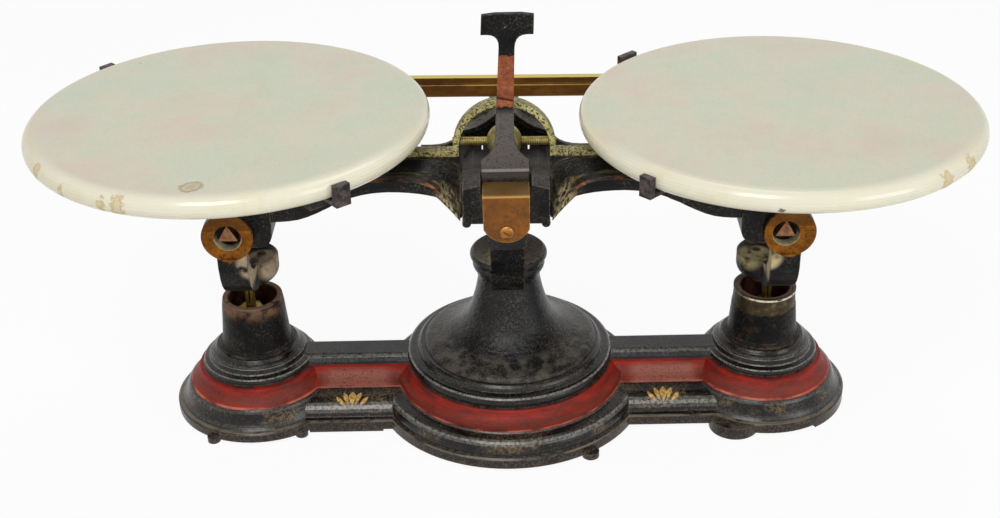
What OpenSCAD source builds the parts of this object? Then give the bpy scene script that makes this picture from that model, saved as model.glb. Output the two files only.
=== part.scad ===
// Equal-arm trip balance: two round plates carried above the beam, on hangers kept upright by a check rod.
// Origin: middle of the base, on the surface that it stands on. +X right, +Y away from the name side, +Z up.

/* [Plates] */
// Radius of each plate
plate_r = 76.8; // [74:0.2:78]
// Thickness of each plate
plate_t = 8; // [6:0.5:10]
// Height of the underside of the plates
plate_z = 122.4; // [121.5:0.1:124]
// How far a plate is lifted off its carrier, 0 at rest
plate_gap = 0.3; // [0.2:0.1:1]

/* [Beam] */
// Distance from the centre knife edge to each end knife edge
arm_l = 105.3; // [104.5:0.1:106]
// Height of the centre knife edge
knife_z = 99.5; // [99:0.1:100]
// How far the end knife edges lie below the centre one
knife_drop = 3.6; // [3:0.1:4]
// Half width of the beam casting, front to rear
beam_half_w = 20.6; // [20:0.2:21]
// Height of the ridge of the beam's arms
beam_crown_z = 111.3; // [111:0.1:111.6]
// How far the beam leans at rest, right end down, in degrees
rest_tilt = 0.65; // [0:0.05:1]
// Distance from the middle of the beam to the front face of the graduated bar
bar_y = 63.5; // [63:0.5:66]
// Half length of the graduated bar
bar_half_l = 78; // [76:1:82]

/* [Arch and adjusting nut] */
// Outer radius of the arch strap
arch_r = 19.8; // [19:0.1:20]
// Thickness of the arch strap
arch_t = 2.2; // [2:0.1:2.6]
// Depth of the arch strap, front to rear
arch_w = 5; // [4:0.5:6]
// Radius of the ball nut
nut_r = 6.9; // [6:0.1:7.2]
// Radius of the threaded rod
rod_r = 1.7; // [1.5:0.1:1.8]

/* [Index post] */
// Height of the top of the index post
index_top_z = 173.8; // [168:0.2:178]
// Width of its head
index_head_w = 19.2; // [17:0.2:20]
// Width of its stem, halfway up
index_stem_w = 6.4; // [5.6:0.1:6.8]
// How far the upper stem leans to the right, in degrees
index_lean = 2.6; // [0:0.2:3]

/* [Base] */
// Radius of the flange of the middle moulding
mid_flange_r = 55.5; // [54:0.5:57]
// Radius of the flange of each end moulding
end_flange_r = 35.2; // [34.8:0.1:35.6]
// Distance from the middle to the centre of each end moulding
end_x = 104.4; // [104:0.1:105]
// Half width of the bridges between the mouldings, at the foot
bridge_half_w = 27.5; // [26:0.5:28]
// Height of the cast feet below the flange
foot_h = 1.5; // [1:0.5:2]

/* [Pedestal and posts] */
// Height of the round table on top of the pedestal
table_z = 70; // [69:0.5:71]
// Radius of that table
table_r = 15.5; // [15:0.1:15.8]
// How far the pedestal's bell stands to the right of the middle
pedestal_x = 0.4; // [0:0.1:0.6]
// Height of the rim of the end posts
post_rim_z = 50; // [48:0.5:51]
// Bore radius of the end posts
post_bore_r = 10; // [9.6:0.1:10.2]

/* [Hidden] */
$fn = 72;

// Fits: two bodies that pass each other, and a hole round its own pin or screw
gap = 0.5;
pin_gap = 0.4;
nut_fit = 0.06;
knife_fit = 0.05;

// Mouldings of the base, measured inwards from the flange and upwards from the floor
flange_top_z = 6;
groove_in = 1.6;
torus_top_z = 13;
red_top_z = 20;
shoulder_z = 25.5;
plate_seat_z = 27.8;
wall = 2.6;

// Rings on the middle moulding and on the end ones
mid_red_low_r = mid_flange_r - 8.4;
mid_red_top_r = mid_flange_r - 12.8;
mid_seat_r = 36.6;
end_top_z = 28.6;
post_foot_z = 26.5;
post_foot_r = 14.2;
post_rim_r = 12.2;
roof_z = 25;

// Bearings, covers and the upright that holds them
upright_in_y = 11.5;
cover_y = 27;
cover_t = 1.2;
cover_half_w = 8.9;
cover_top_z = 106.5;
cover_low_z = 86.6;
cover_screw_z = 90.9;
house_half_w = 7.6;
house_z = cover_top_z - 2 * cover_t;
rib_half_w = 6.5;
index_y = 15.2;
index_t = 2;
index_bend_z = 130;
index_shift = 0.1;

// Knife edges
end_knife_z = knife_z - knife_drop;
center_knife_h = 4.2;
block_z = knife_z - 6.4;
end_knife_h = 6.5;
knife_half_angle = 30;
seat_half_angle = 50;
center_seat_half_angle = 65;

// Hangers
ear_y = 25;
ear_t = 4.5;
ear_r = 9.8;
ear_out = 0.9;
hanger_x = 0.7;
ear_half_w = 5.5;
ear_z = end_knife_z - 4.9;
ear_bore_r = 5.1;
ear_top_z = 106;
drum_r = 12.2;
drum_top_z = 68;
drum_low_z = 62.5;
drum_foot_z = 55.5;
stem_r = 2;

// Check rod: the same lever as the beam, the same drop, in the base
check_end_z = 11;
check_mid_z = check_end_z + knife_drop;
check_half_t = 1.5;
check_pin_r = 2;
stem_pin_r = 1.5;

// Carriers of the plates
spider_z = 106;
spider_arm_z = 113;
spider_arm_h = 3.6;
riser_r = 54;
prong_low_z = 120.8;
pad_top_z = plate_z - plate_gap;
prong_in_r = plate_r + 0.5;
prong_t = 2.6;
left_prongs = [[-52, 6, plate_z + 6.6], [138, 6, plate_z + 6.6]];
left_pads = [38, -142];
right_prongs = [[-135, 5.2, plate_z + 6.4], [133.5, 9, plate_z + 7.6]];
right_pads = [45, -45];

// Graduated bar
bar_z = 108.1;
bar_h = 8.6;
bar_t = 3.4;
poise_x = -62;
tongue_t = 3;
side_bracket_x = 70;
side_screw_z = 100.4;
bracket_screw_z = 101.5;
web_t = 2;

rod_z = 116.7;
arch_z = 114.6;
arch_x = -0.5;
pointer_foot_t = 1.2;
iron = [0.11, 0.11, 0.12];
red = [0.66, 0.16, 0.12];
gold = [0.72, 0.48, 0.12];
brass = [0.62, 0.52, 0.22];
steel = [0.55, 0.55, 0.56];
glaze = [0.87, 0.86, 0.80];

// Points along an arc in a drawing plane
function arc(cx, cy, r, from, to, n = 8) =
    [for (i = [0:n]) let (a = from + (to - from) * i / n) [cx + r * cos(a), cy + r * sin(a)]];

// Points along a smooth bend from a to c, drawn towards b
function bend(a, b, c, n = 5) =
    [for (i = [0:n]) let (t = i / n) a * pow(1 - t, 2) + b * 2 * t * (1 - t) + c * pow(t, 2)];

// How far the index post has moved to the right at height z
function lean(z) = max(0, z - index_bend_z) * tan(index_lean);

// The lean at rest of the beam, or of the check rod, about its own pivot
module leaning(pivot_z) {
    translate([0, 0, pivot_z]) rotate([0, rest_tilt, 0]) translate([0, 0, -pivot_z]) children();
}

// Where a hanger comes to rest: it follows its knife edge and stays upright
module hung(side) {
    translate([
        side * arm_l * (cos(rest_tilt) - 1) - knife_drop * sin(rest_tilt), 0,
        knife_drop * (1 - cos(rest_tilt)) - side * arm_l * sin(rest_tilt)
    ]) children();
}

// A drawing in X and Z, given depth from y0 to y1
module along_y(y0, y1) {
    translate([0, y1, 0]) rotate([90, 0, 0]) linear_extrude(height = y1 - y0) children();
}

// A drawing in Y and Z, given length from x0 to x1
module along_x(x0, x1) {
    translate([x0, 0, 0]) rotate([90, 0, 90]) linear_extrude(height = x1 - x0) children();
}

// The same thing at the front and at the rear
module front_and_rear() {
    children();
    mirror([0, 1, 0]) children();
}

module left_and_right() {
    children();
    mirror([1, 0, 0]) children();
}

// Slotted screw head on top of a plain shank, pointing up from its seat
module slotted_screw(head_r, head_h, shank_r, shank_l) {
    difference() {
        union() {
            intersection() {
                cylinder(r = head_r, h = head_h);
                translate([0, 0, head_h - head_r * 1.6]) sphere(r = head_r * 1.6);
            }
            translate([0, 0, -shank_l]) cylinder(r = shank_r, h = shank_l + 0.1);
        }
        translate([-head_r - 1, -0.35, head_h * 0.45]) cube([2 * head_r + 2, 0.7, head_h]);
    }
}

// Base: half section of a round moulding, from its flange to its seat
function moulding() = concat(
    [[0, foot_h], [mid_flange_r, foot_h], [mid_flange_r, flange_top_z - 0.8], [mid_flange_r - 0.8, flange_top_z]],
    [[mid_flange_r - groove_in, flange_top_z]],
    arc(mid_red_low_r + 1.3, flange_top_z + 1.2, mid_flange_r - groove_in - mid_red_low_r - 1.3, 0, 62, 6),
    [[mid_red_low_r + 0.6, torus_top_z - 0.6], [mid_red_low_r, torus_top_z]],
    arc(mid_red_low_r + 2.1, red_top_z + 2.0, 6.6, 248, 202, 5),
    [[mid_red_top_r, red_top_z]],
    arc(39.8, 22.6, 2.6, -60, 95, 8),
    [[38.3, 25.4], [38, 26.2], [37.5, 27], [mid_seat_r, plate_seat_z], [0, plate_seat_z]]
);

// The same for an end moulding, which is slimmer and ends in three rings
function end_moulding() = concat(
    [[0, foot_h], [end_flange_r, foot_h], [end_flange_r, 4.7], [end_flange_r - 0.7, 5.4], [end_flange_r - 1.7, 5.6]],
    bend([33, 6.1], [31.7, 7.6], [30.8, 10]),
    bend([30.6, 10.4], [29.9, 12.4], [28.8, torus_top_z], 3),
    bend([28.5, 13.3], [25.9, 16.3], [24.5, 19.7]),
    [[23.6, red_top_z]],
    arc(21.2, 21.6, 1.6, -55, 80, 6),
    [[20.4, 23.6], [20, 24.1]],
    arc(18.7, 25.2, 1, 15, 75, 3),
    [[18.9, 26.4], [18.4, 26.8], [17.6, 27.4], [17.1, 28.1], [16.7, end_top_z], [0, end_top_z]]
);

module bridge_section() {
    half = concat(
        [[bridge_half_w, foot_h], [bridge_half_w, 5.2], [bridge_half_w - 1.2, 5.8]],
        arc(16.6, 3.2, 9.0, 20, 78, 6),
        [[14.6, torus_top_z - 0.5], [13.6, torus_top_z]],
        arc(14.4, red_top_z + 1.6, 7.4, 262, 200, 5),
        [[7.4, red_top_z], [7.2, 21.2], [6.2, 22.8], [5.2, 23.6], [4.6, 24]]
    );
    polygon(concat(half, [for (i = [len(half) - 1:-1:0]) [-half[i][0], half[i][1]]]));
}

module bridge_hollow() {
    steps = [[bridge_half_w - wall, 3], [21, 7.5], [11, 11], [5.2, 19.8]];
    for (s = steps) translate([-end_x, -s[0], -1]) cube([2 * end_x, 2 * s[0], s[1] + 1]);
}

module base_casting() {
    feet = [[-120.5, -31, 2.6], [-85.2, -28, 2.6], [31.5, -45.6, 3.4], [128, 26, 3], [-127, 25, 3], [-31.4, 44, 3]];
    color(iron)
    difference() {
        union() {
            rotate_extrude() polygon(moulding());
            for (side = [-1, 1]) translate([side * end_x, 0, 0])
                rotate_extrude() polygon(end_moulding());
            along_x(-end_x, end_x) bridge_section();
            translate([-82, -bridge_half_w, 0.6]) cube([30, wall, foot_h]);
            for (f = feet) translate([f[0], f[1], 0]) cylinder(r = f[2], h = foot_h + 1);
            translate([90.6, -27.4, 0.2]) cylinder(r = 10, h = 5);
            translate([end_x, 0, 0]) rotate(-57) rotate_extrude(angle = 44) translate([end_flange_r - 3, 0]) square([3, 3]);
        }
        translate([0, 0, -1]) cylinder(r = mid_flange_r - groove_in - 2 * wall, h = flange_top_z);
        translate([0, 0, -1]) cylinder(r = mid_red_low_r - wall, h = torus_top_z);
        translate([0, 0, -1]) cylinder(r = mid_seat_r - 1.5, h = roof_z + 1);
        translate([0, 0, roof_z - 1]) cylinder(r = 12, h = 6);
        for (a = [90, 210, 330]) rotate(a) translate([27, 0, roof_z - 1]) cylinder(r = 2.1, h = 6);
        for (side = [-1, 1]) {
            translate([side * 9, 16, roof_z - 1]) cylinder(r = 1.6, h = 6);
            translate([side * end_x, 0, 0]) {
                translate([0, 0, -1]) cylinder(r = end_flange_r - groove_in - 2 * wall, h = flange_top_z);
                translate([0, 0, -1]) cylinder(r = 25.8, h = torus_top_z);
                translate([0, 0, -1]) cylinder(r = 20, h = 22.6);
                translate([0, 0, -1]) cylinder(r = post_bore_r, h = end_top_z + 2);
                translate([0, 0, post_foot_z]) cylinder(r = post_foot_r + 1.4, h = end_top_z);
            }
        }
        bridge_hollow();
    }
}

// Hollow post: a cone with a foot ring, open at both ends
module post(side) {
    color(iron)
    translate([side * end_x, 0, 0])
        rotate_extrude() polygon(concat(
            [[post_bore_r, post_foot_z], [post_foot_r + 1.4, post_foot_z], [post_foot_r + 1.4, end_top_z + 0.2]],
            arc(post_foot_r, end_top_z + 0.7, 1, -20, 100, 5),
            [[14.3, 30.3], [13.8, 33], [13.2, 40], [12.7, 46], [post_rim_r + 0.2, 48.4], [post_rim_r - 0.1, post_rim_z]],
            [[post_bore_r, post_rim_z]]
        ));
}

module left_post() { post(-1); }

module right_post() {
    difference() {
        post(1);
        translate([end_x, 0, post_rim_z - 7]) difference() {
            cylinder(r = post_rim_r + 3, h = 8);
            translate([0, 0, -1]) cylinder(r = post_rim_r - 0.9, h = 10);
        }
    }
}

// Thin band shrunk on the rim of the right post
module post_collar() {
    color(brass)
    translate([end_x, 0, post_rim_z - 7]) difference() {
        union() {
            cylinder(r1 = post_rim_r + 0.6, r2 = post_rim_r + 0.1, h = 6.2);
            translate([0, 0, 6.1]) cylinder(r = post_rim_r + 0.4, h = 1.1);
        }
        translate([0, 0, -1]) cylinder(r = post_rim_r - 0.9, h = 10);
    }
}

module pedestal_profile() {
    polygon(concat(
        [[0, plate_seat_z]],
        bend([35.4, plate_seat_z], [35.4, 29.2], [33.2, 30], 4),
        bend([33.2, 30], [21.4, 33.2], [17.4, 40.4], 8),
        bend([17.4, 40.4], [14.2, 47.2], [12.7, 56], 6),
        bend([12.7, 56], [12.1, 59.6], [13.9, 61.8], 5),
        bend([13.9, 61.8], [14.9, 63.4], [14.3, 65], 4),
        arc(table_r - 2.2, 67.6, 2.2, -55, 60, 6),
        [[table_r - 1.6, table_z], [0, table_z]]
    ));
}

// Side view of the upright that rises from the round table, then its housing
module upright() {
    rib = concat(
        [[-9, 56], [-12.9, 57.5], [-15.6, 62], [-18.2, 68], [-22.4, 76], [-25.8, 83], [-25.8, 86]],
        [[-upright_in_y, 86], [-upright_in_y, 80], [-10, 75], [-6, 71.2], [0, table_z - 1], [0, 60]]
    );
    along_x(-rib_half_w, rib_half_w) polygon(rib);
    translate([-house_half_w, -25.8, 84])
        cube([2 * house_half_w, 25.8 - upright_in_y, house_z - 84]);
}

module pedestal() {
    color(iron)
    difference() {
        union() {
            translate([pedestal_x, 0, 0]) rotate_extrude() pedestal_profile();
            front_and_rear() upright();
        }
        translate([0, 0, plate_seat_z - 1]) cylinder(r = 22, h = 5);
        translate([0, 0, plate_seat_z - 1]) cylinder(r = 15, h = 11);
        translate([0, 0, plate_seat_z - 1]) cylinder(r = 8.5, h = 34);
        for (a = [90, 210, 330]) rotate(a) translate([27, 0, plate_seat_z - 1]) cylinder(r = 2.1, h = 4.8);
        front_and_rear() {
            translate([-5, -24, block_z]) cube([10, 20, 30]);
            translate([0, -26.5, cover_screw_z]) rotate([-90, 0, 0]) cylinder(r = 1.4, h = 7);
        }
    }
}

module pedestal_screws() {
    color(steel)
    for (a = [90, 210, 330]) rotate(a) translate([27, 0, roof_z]) mirror([0, 0, 1]) slotted_screw(3.6, 2.2, 2, 6.3);
}

// Bracket under the roof of the middle moulding that holds the pivot of the check rod
module check_bracket() {
    cheek_y = check_half_t + 0.6;
    color(steel)
    difference() {
        union() {
            translate([-12, -20, roof_z - 3]) cube([24, 40, 3]);
            front_and_rear() translate([-6, cheek_y, check_mid_z]) cube([12, 3, roof_z - 2.5 - check_mid_z]);
            front_and_rear() translate([0, cheek_y, check_mid_z]) rotate([-90, 0, 0]) cylinder(r = 6, h = 3);
        }
        translate([0, -10, check_mid_z]) rotate([-90, 0, 0]) cylinder(r = check_pin_r, h = 20);
        for (side = [-1, 1]) translate([side * 9, 16, roof_z - 5]) cylinder(r = 1.5, h = 10);
    }
}

module check_bracket_screws() {
    color(steel)
    for (side = [-1, 1]) translate([side * 9, 16, roof_z - 3]) mirror([0, 0, 1]) slotted_screw(2.4, 1.5, 1.5, 5);
}

module check_pin() {
    color(steel)
    translate([0, -check_half_t - 4.6, check_mid_z]) rotate([-90, 0, 0])
        cylinder(r = check_pin_r, h = 2 * check_half_t + 9.2);
}

// Hardened blocks with a V seat for the centre knife edge
module bearing_blocks() {
    lip_z = knife_z + 1.3;
    seat_w = (lip_z - knife_z + knife_fit) * tan(center_seat_half_angle);
    color(steel)
    front_and_rear() along_y(-24, -upright_in_y - 1)
        polygon([
            [-5, block_z], [5, block_z], [5, lip_z], [seat_w, lip_z],
            [0, knife_z - knife_fit], [-seat_w, lip_z], [-5, lip_z]
        ]);
}

// Bent plate over the front and the top of an upright
module cover() {
    difference() {
        union() {
            along_y(-cover_y, -cover_y + cover_t) polygon(concat(
                [[cover_half_w, cover_top_z - cover_t], [-cover_half_w, cover_top_z - cover_t]],
                arc(0, cover_low_z + 9.6, 9.6, 204, 336, 10)
            ));
            along_x(-cover_half_w, cover_half_w) polygon(concat(
                [[-index_y, cover_top_z - cover_t], [-index_y, cover_top_z]],
                arc(-cover_y + cover_t, cover_top_z - cover_t, cover_t, 90, 180, 5)
            ));
        }
        translate([0, -cover_y - 1, cover_screw_z]) rotate([-90, 0, 0]) cylinder(r = 1.4, h = 5);
    }
}

module front_cover() { color(gold) cover(); }

module rear_cover() { color(gold) mirror([0, 1, 0]) cover(); }

module cover_screws() {
    color(gold)
    front_and_rear() translate([0, -cover_y, cover_screw_z]) rotate([90, 35, 0]) slotted_screw(2.7, 1.3, 1.4, 7);
}

// Cap plate that closes the top of an upright, under the cover
module cap_plate() {
    translate([-house_half_w, -25.8, house_z])
        cube([2 * house_half_w, 25.8 - upright_in_y - 0.5, cover_t]);
}

// Outline of the index post: foot, flared shoulders, stem and T head with a rounded top
module index_outline() {
    foot = cover_half_w + 0.1;
    head = index_head_w / 2;
    stem = index_stem_w / 2;
    head_z = index_top_z - 8.1;
    right = concat(
        [[foot, house_z], [foot, 115]],
        bend([7, 116.6], [4.4, 119], [3.9, 123.2], 4),
        [[stem + 0.4, 125.4], [stem, 138]],
        bend([stem - 0.3, head_z - 5], [stem - 0.3, head_z - 0.1], [stem + 4, head_z], 5),
        [[head, head_z], [head - 0.1, index_top_z - 0.8], [head * 0.5, index_top_z - 0.2]]
    );
    outline = concat(right, [for (i = [len(right) - 1:-1:0]) [-right[i][0], right[i][1]]]);
    polygon([for (q = outline) [q[0] + lean(q[1]) - index_shift, q[1]]]);
}

module index_post() {
    color(iron)
    union() {
        cap_plate();
        along_y(-index_y, -index_y + index_t) index_outline();
    }
}

module rear_cap() {
    color(iron)
    union() {
        mirror([0, 1, 0]) cap_plate();
        translate([-cover_half_w, index_y - index_t, house_z]) cube([2 * cover_half_w, index_t, 5]);
    }
}

// Underside of the front arm, then the top of its front face, then the ridge, from the hub outwards
function arm_low() = concat(
    bend([17.6, 92.2], [22, 98], [26, 102.2], 4),
    bend([26.8, 102.7], [34, 104.9], [45, 104.9], 5),
    bend([47, 104.8], [57, 104.4], [66, 99.5], 5),
    bend([67.5, 98.6], [75, 94.6], [79, 93.6], 3),
    bend([80, 93.4], [84, 92.6], [90, 92.6], 3)
);

function arm_face() = concat(
    bend([17.6, 93.2], [21.2, 100.4], [25.5, 105.6], 4),
    bend([26.3, 106.4], [31, 110.7], [41, 110.9], 5),
    bend([44, 110.9], [54, 110.9], [64, 108.6], 5),
    bend([66, 108], [74, 105.8], [80, 104.6], 3),
    bend([82, 104.2], [88, 103], [93, 102], 3)
);

function arm_ridge() = concat(
    bend([15.4, 100], [16.4, 106.2], [21, 109], 4),
    bend([22, 109.5], [26, 111.2], [31, beam_crown_z], 5),
    bend([34, beam_crown_z], [52, beam_crown_z], [64, 109.6], 5),
    bend([66, 109.2], [74, 107], [80, 105.6], 3),
    bend([82, 105.2], [88, 104], [93, 102], 3)
);

// Front arm, as a skin over cross sections: a worn bead in front, a hollow curve behind it, then the ridge
module front_arm() {
    low = arm_low();
    face = arm_face();
    ridge = arm_ridge();
    front = -beam_half_w;
    back = -4.4;
    m = 10;
    function section(i) =
        let (f = face[i], r = ridge[i], h = (f[1] - low[i][1]) / 6, dz = r[1] - f[1], dx = r[0] - f[0])
        concat(
            [[low[i][0], back, low[i][1]], [low[i][0], front + 0.8, low[i][1]], [f[0], front, low[i][1] + 2 * h]],
            [[f[0], front, f[1] - h], [f[0], front + 0.7, f[1]], [f[0], front + 1.6, f[1]]],
            [for (q = [[0.25, -0.09], [0.5, 0.12], [0.75, 0.5]])
                [f[0] + dx * q[0], front + 1.6 + (back - front - 1.6) * q[0], f[1] + dz * q[1] - 1.6 * sin(q[0] * 180)]],
            [[r[0], back, r[1]]]
        );
    n = len(low);
    points = [for (i = [0:n - 1]) each section(i)];
    sides = [for (i = [0:n - 2], j = [0:m - 1]) let (a = i * m + j, b = i * m + (j + 1) % m)
        each [[a, b, a + m], [b, b + m, a + m]]];
    caps = [for (j = [1:m - 2]) each [[0, j + 1, j], [(n - 1) * m, (n - 1) * m + j, (n - 1) * m + j + 1]]];
    polyhedron(points = points, faces = concat(sides, caps));
}

// End boss of the beam, with the seat for an end knife
module end_boss_outline() {
    polygon(concat(
        arc(arm_l + 3, 89, 5, 270, 360, 5),
        arc(arm_l + 2, 96, 6, 0, 90, 5),
        [[arm_l - 8, 102], [arm_l - 16, 102], [arm_l - 16, 93]],
        arc(arm_l - 10.4, 88.9, 5.4, 180, 270, 6)
    ));
}

module knife_outline(z, h, up) {
    half = h * tan(knife_half_angle);
    dir = up ? -1 : 1;
    polygon([[0, z], [half, z + dir * h], [-half, z + dir * h]]);
}

module beam_half() {
    ridge = arm_ridge();
    inner = beam_half_w - 7;
    difference() {
        union() {
            front_arm();
            along_y(-4.5, 4.5) polygon(concat([[15.4, 99], [93, 99]], [for (i = [len(ridge) - 1:-1:0]) ridge[i]]));
            along_y(-arch_w / 2, arch_w / 2) polygon([
                [arch_r - 2.6, 104], [arch_r - 2.6, 108], [arch_r - 0.5, beam_crown_z], [46, beam_crown_z], [46, 104]
            ]);
            along_y(4, beam_half_w) polygon([[15.4, 95], [53, 98], [53, 104.4], [15.4, 104.7]]);
            along_y(inner, beam_half_w) polygon([[15.4, 93], [95, 91.5], [95, 101], [52, 104.5], [15.4, 104.7]]);
            along_y(-ear_y + 1.5, ear_y - 1.5) end_boss_outline();
        }
        translate([52, -inner, 80]) cube([36, 2 * inner, 40]);
        along_y(-40, 40) translate([arm_l, 0]) knife_outline(end_knife_z, end_knife_h, true);
        translate([40, 0, beam_crown_z - 5]) cylinder(r = 1.4, h = 10);
    }
}

// Hub: the block between the uprights and the wings that pass beside them
module hub() {
    wing_in = cover_half_w + 0.8;
    wing_out = 16.6;
    wing_low_z = 91.4;
    hub_top = 108;
    wing_step_z = 103.2;
    along_y(-11, 11) polygon([
        [-17, 93], [17, 93], [17.6, 97], [17.6, 104], [12.5, hub_top], [-12.5, hub_top], [-17.6, 104], [-17.6, 97]
    ]);
    left_and_right() {
        hull() {
            along_y(-beam_half_w, -beam_half_w + 0.1)
                polygon([[wing_in, wing_low_z], [wing_out, wing_low_z], [wing_out, 106.1], [wing_in, 107.6]]);
            along_y(-16, -10)
                polygon([[wing_in, wing_low_z], [wing_out, wing_low_z], [wing_out, 109], [wing_in, 110]]);
        }
        along_y(-beam_half_w, -14) translate([15.2, wing_low_z + 0.1]) circle(r = 1.7);
        along_y(-beam_half_w, -12) translate([house_half_w + 0.8, wing_low_z])
            square([wing_out - house_half_w - 1, wing_step_z - wing_low_z]);
        along_x(wing_in, wing_out) polygon([[10, 92], [beam_half_w, 92], [beam_half_w, 104.7], [10, 106]]);
    }
}

module beam_casting() {
    color(iron)
    leaning(knife_z) difference() {
        union() {
            left_and_right() beam_half();
            hub();
        }
        along_y(-15, 15) knife_outline(knife_z, center_knife_h, false);
        left_and_right() translate([13.2, 14, bracket_screw_z]) rotate([-90, 0, 0]) cylinder(r = 1.3, h = 12);
        left_and_right() translate([side_bracket_x, beam_half_w - 6, side_screw_z])
            rotate([-90, 0, 0]) cylinder(r = 1.4, h = 10);
    }
}

module center_knife() {
    color(steel)
    leaning(knife_z) along_y(-23.6, 23.6) knife_outline(knife_z, center_knife_h, false);
}

module end_knife(side) {
    color(gold)
    leaning(knife_z) translate([side * arm_l, 0, 0]) along_y(-ear_y - ear_t + 0.8, ear_y + ear_t - 0.8)
        knife_outline(end_knife_z, end_knife_h, true);
}

module left_knife() { end_knife(-1); }

module right_knife() { end_knife(1); }

module arch_strap() {
    color(gold)
    leaning(knife_z) translate([arch_x, 0, 0]) difference() {
        along_y(-arch_w / 2, arch_w / 2) {
            difference() {
                union() {
                    translate([0, arch_z]) circle(r = arch_r);
                    translate([-arch_r, beam_crown_z]) square([2 * arch_r, arch_z - beam_crown_z]);
                }
                translate([0, arch_z]) circle(r = arch_r - arch_t);
                translate([-arch_r + arch_t, beam_crown_z - 1]) square([2 * (arch_r - arch_t), arch_z - beam_crown_z + 1]);
                translate([-30, beam_crown_z - 20]) square([60, 20]);
            }
            for (side = [-1, 1])
                translate([side < 0 ? -46 : arch_r - arch_t, beam_crown_z]) square([46 - arch_r + arch_t, arch_t]);
        }
        translate([-25, 0, rod_z]) rotate([0, 90, 0]) cylinder(r = rod_r, h = 50);
        for (side = [-1, 1]) translate([side * 40 - arch_x, 0, beam_crown_z - 1]) cylinder(r = 1.4, h = 5);
        translate([0, 0, arch_z + arch_r - 4]) cylinder(r = 1.2, h = 8);
    }
}

module strap_screws() {
    color(brass)
    leaning(knife_z) {
        for (side = [-1, 1]) translate([side * 40, 0, beam_crown_z + arch_t]) slotted_screw(2.2, 1.2, 1.4, 6);
        translate([arch_x, 0, arch_z + arch_r + pointer_foot_t]) slotted_screw(1.9, 1, 1.2, 3.2);
    }
}

module adjusting_rod() {
    color(brass)
    leaning(knife_z) translate([arch_x - arch_r - 0.2, 0, rod_z]) rotate([0, 90, 0]) cylinder(r = rod_r, h = 2 * arch_r + 0.4);
}

// Ball nut that trims the beam
module adjusting_nut() {
    color(brass)
    leaning(knife_z) translate([arch_x, 0, rod_z]) rotate([0, 90, 0]) difference() {
        intersection() {
            sphere(r = nut_r);
            cylinder(r = nut_r, h = 2 * nut_r - 0.8, center = true);
        }
        cylinder(r = rod_r + nut_fit, h = 4 * nut_r, center = true);
    }
}

// Pointer: a foot screwed to the crown of the arch and a blade behind the index post
module pointer() {
    foot_z = arch_z + arch_r;
    tip_z = index_top_z - 4;
    blade_y = -index_y + index_t + 2;
    blade = [[1.8, foot_z - 1], [1.1, foot_z + 12], [0.4, tip_z]];
    outline = concat(blade, [for (i = [len(blade) - 1:-1:0]) [-blade[i][0], blade[i][1]]]);
    color(iron)
    leaning(knife_z) difference() {
        union() {
            translate([arch_x - 2, blade_y, foot_z - 1]) cube([4, -blade_y + 2.4, pointer_foot_t + 1]);
            along_y(blade_y, blade_y + 1.4) polygon([for (q = outline) [q[0] + lean(q[1]) - 0.4, q[1]]]);
        }
        translate([arch_x, 0, foot_z - 5]) cylinder(r = 1.2, h = 10);
        translate([arch_x, 0, arch_z]) rotate([90, 0, 0]) cylinder(r = arch_r, h = 60, center = true);
    }
}

// Web behind the arch, with an ogee ledge in front of it and a tongue back to the graduated bar
module bar_bracket() {
    web_y = beam_half_w;
    web_top_r = 18.6;
    web_mid_z = 106.4;
    web = concat(
        [[9.6, 98.5], [34, 98.5], [34, 104.9]],
        bend([30, 104.9], [21.2, 105], [18.5, 110.2], 5),
        arc(0, web_mid_z, web_top_r, 16, 90, 8),
        [[0, 107.5], [9.6, 107.5]]
    );
    ledge = concat(
        [[0, 121], [3.8, 119.8]],
        bend([3.8, 119.8], [9, 114.6], [17.4, 112.8], 5),
        bend([17.4, 115], [10, 115.8], [3.8, 122.2], 5),
        [[0, 123.4]]
    );
    color(iron)
    leaning(knife_z) difference() {
        union() {
            left_and_right() {
                along_y(web_y, web_y + web_t) polygon(web);
                along_y(13.6, web_y + 0.5) polygon(ledge);
            }
            along_x(-6.6, 5.6) polygon([
                [web_y, 122.4], [web_y + 4, 121.4], [53, 112.6], [bar_y - 3, bar_z], [bar_y + bar_t, bar_z],
                [bar_y + bar_t, bar_z - tongue_t], [bar_y - 4.6, bar_z - tongue_t], [51, 108.6], [web_y, 117.4]
            ]);
        }
        for (side = [-1, 1]) translate([side * 13.2, 14, bracket_screw_z]) rotate([-90, 0, 0]) cylinder(r = 1.3, h = 12);
        translate([0, bar_y + bar_t / 2, bar_z - 8]) cylinder(r = 1, h = 10);
    }
}

module bracket_screws() {
    color(steel)
    leaning(knife_z) for (side = [-1, 1]) translate([side * 13.2, beam_half_w + web_t, bracket_screw_z])
        rotate([-90, 0, 0]) slotted_screw(2.2, 1.2, 1.3, 8);
}

module graduated_bar() {
    groove_z = bar_z + 0.6 * bar_h;
    color(brass)
    leaning(knife_z) difference() {
        translate([-bar_half_l, bar_y, bar_z]) cube([2 * bar_half_l, bar_t, bar_h]);
        translate([-bar_half_l - 1, bar_y - 0.5, groove_z]) cube([2 * bar_half_l + 2, 0.9, 0.8]);
        for (x = [-side_bracket_x, 0, side_bracket_x])
            translate([x, bar_y + bar_t / 2, bar_z - 1]) cylinder(r = 1, h = 5);
    }
}

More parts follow.
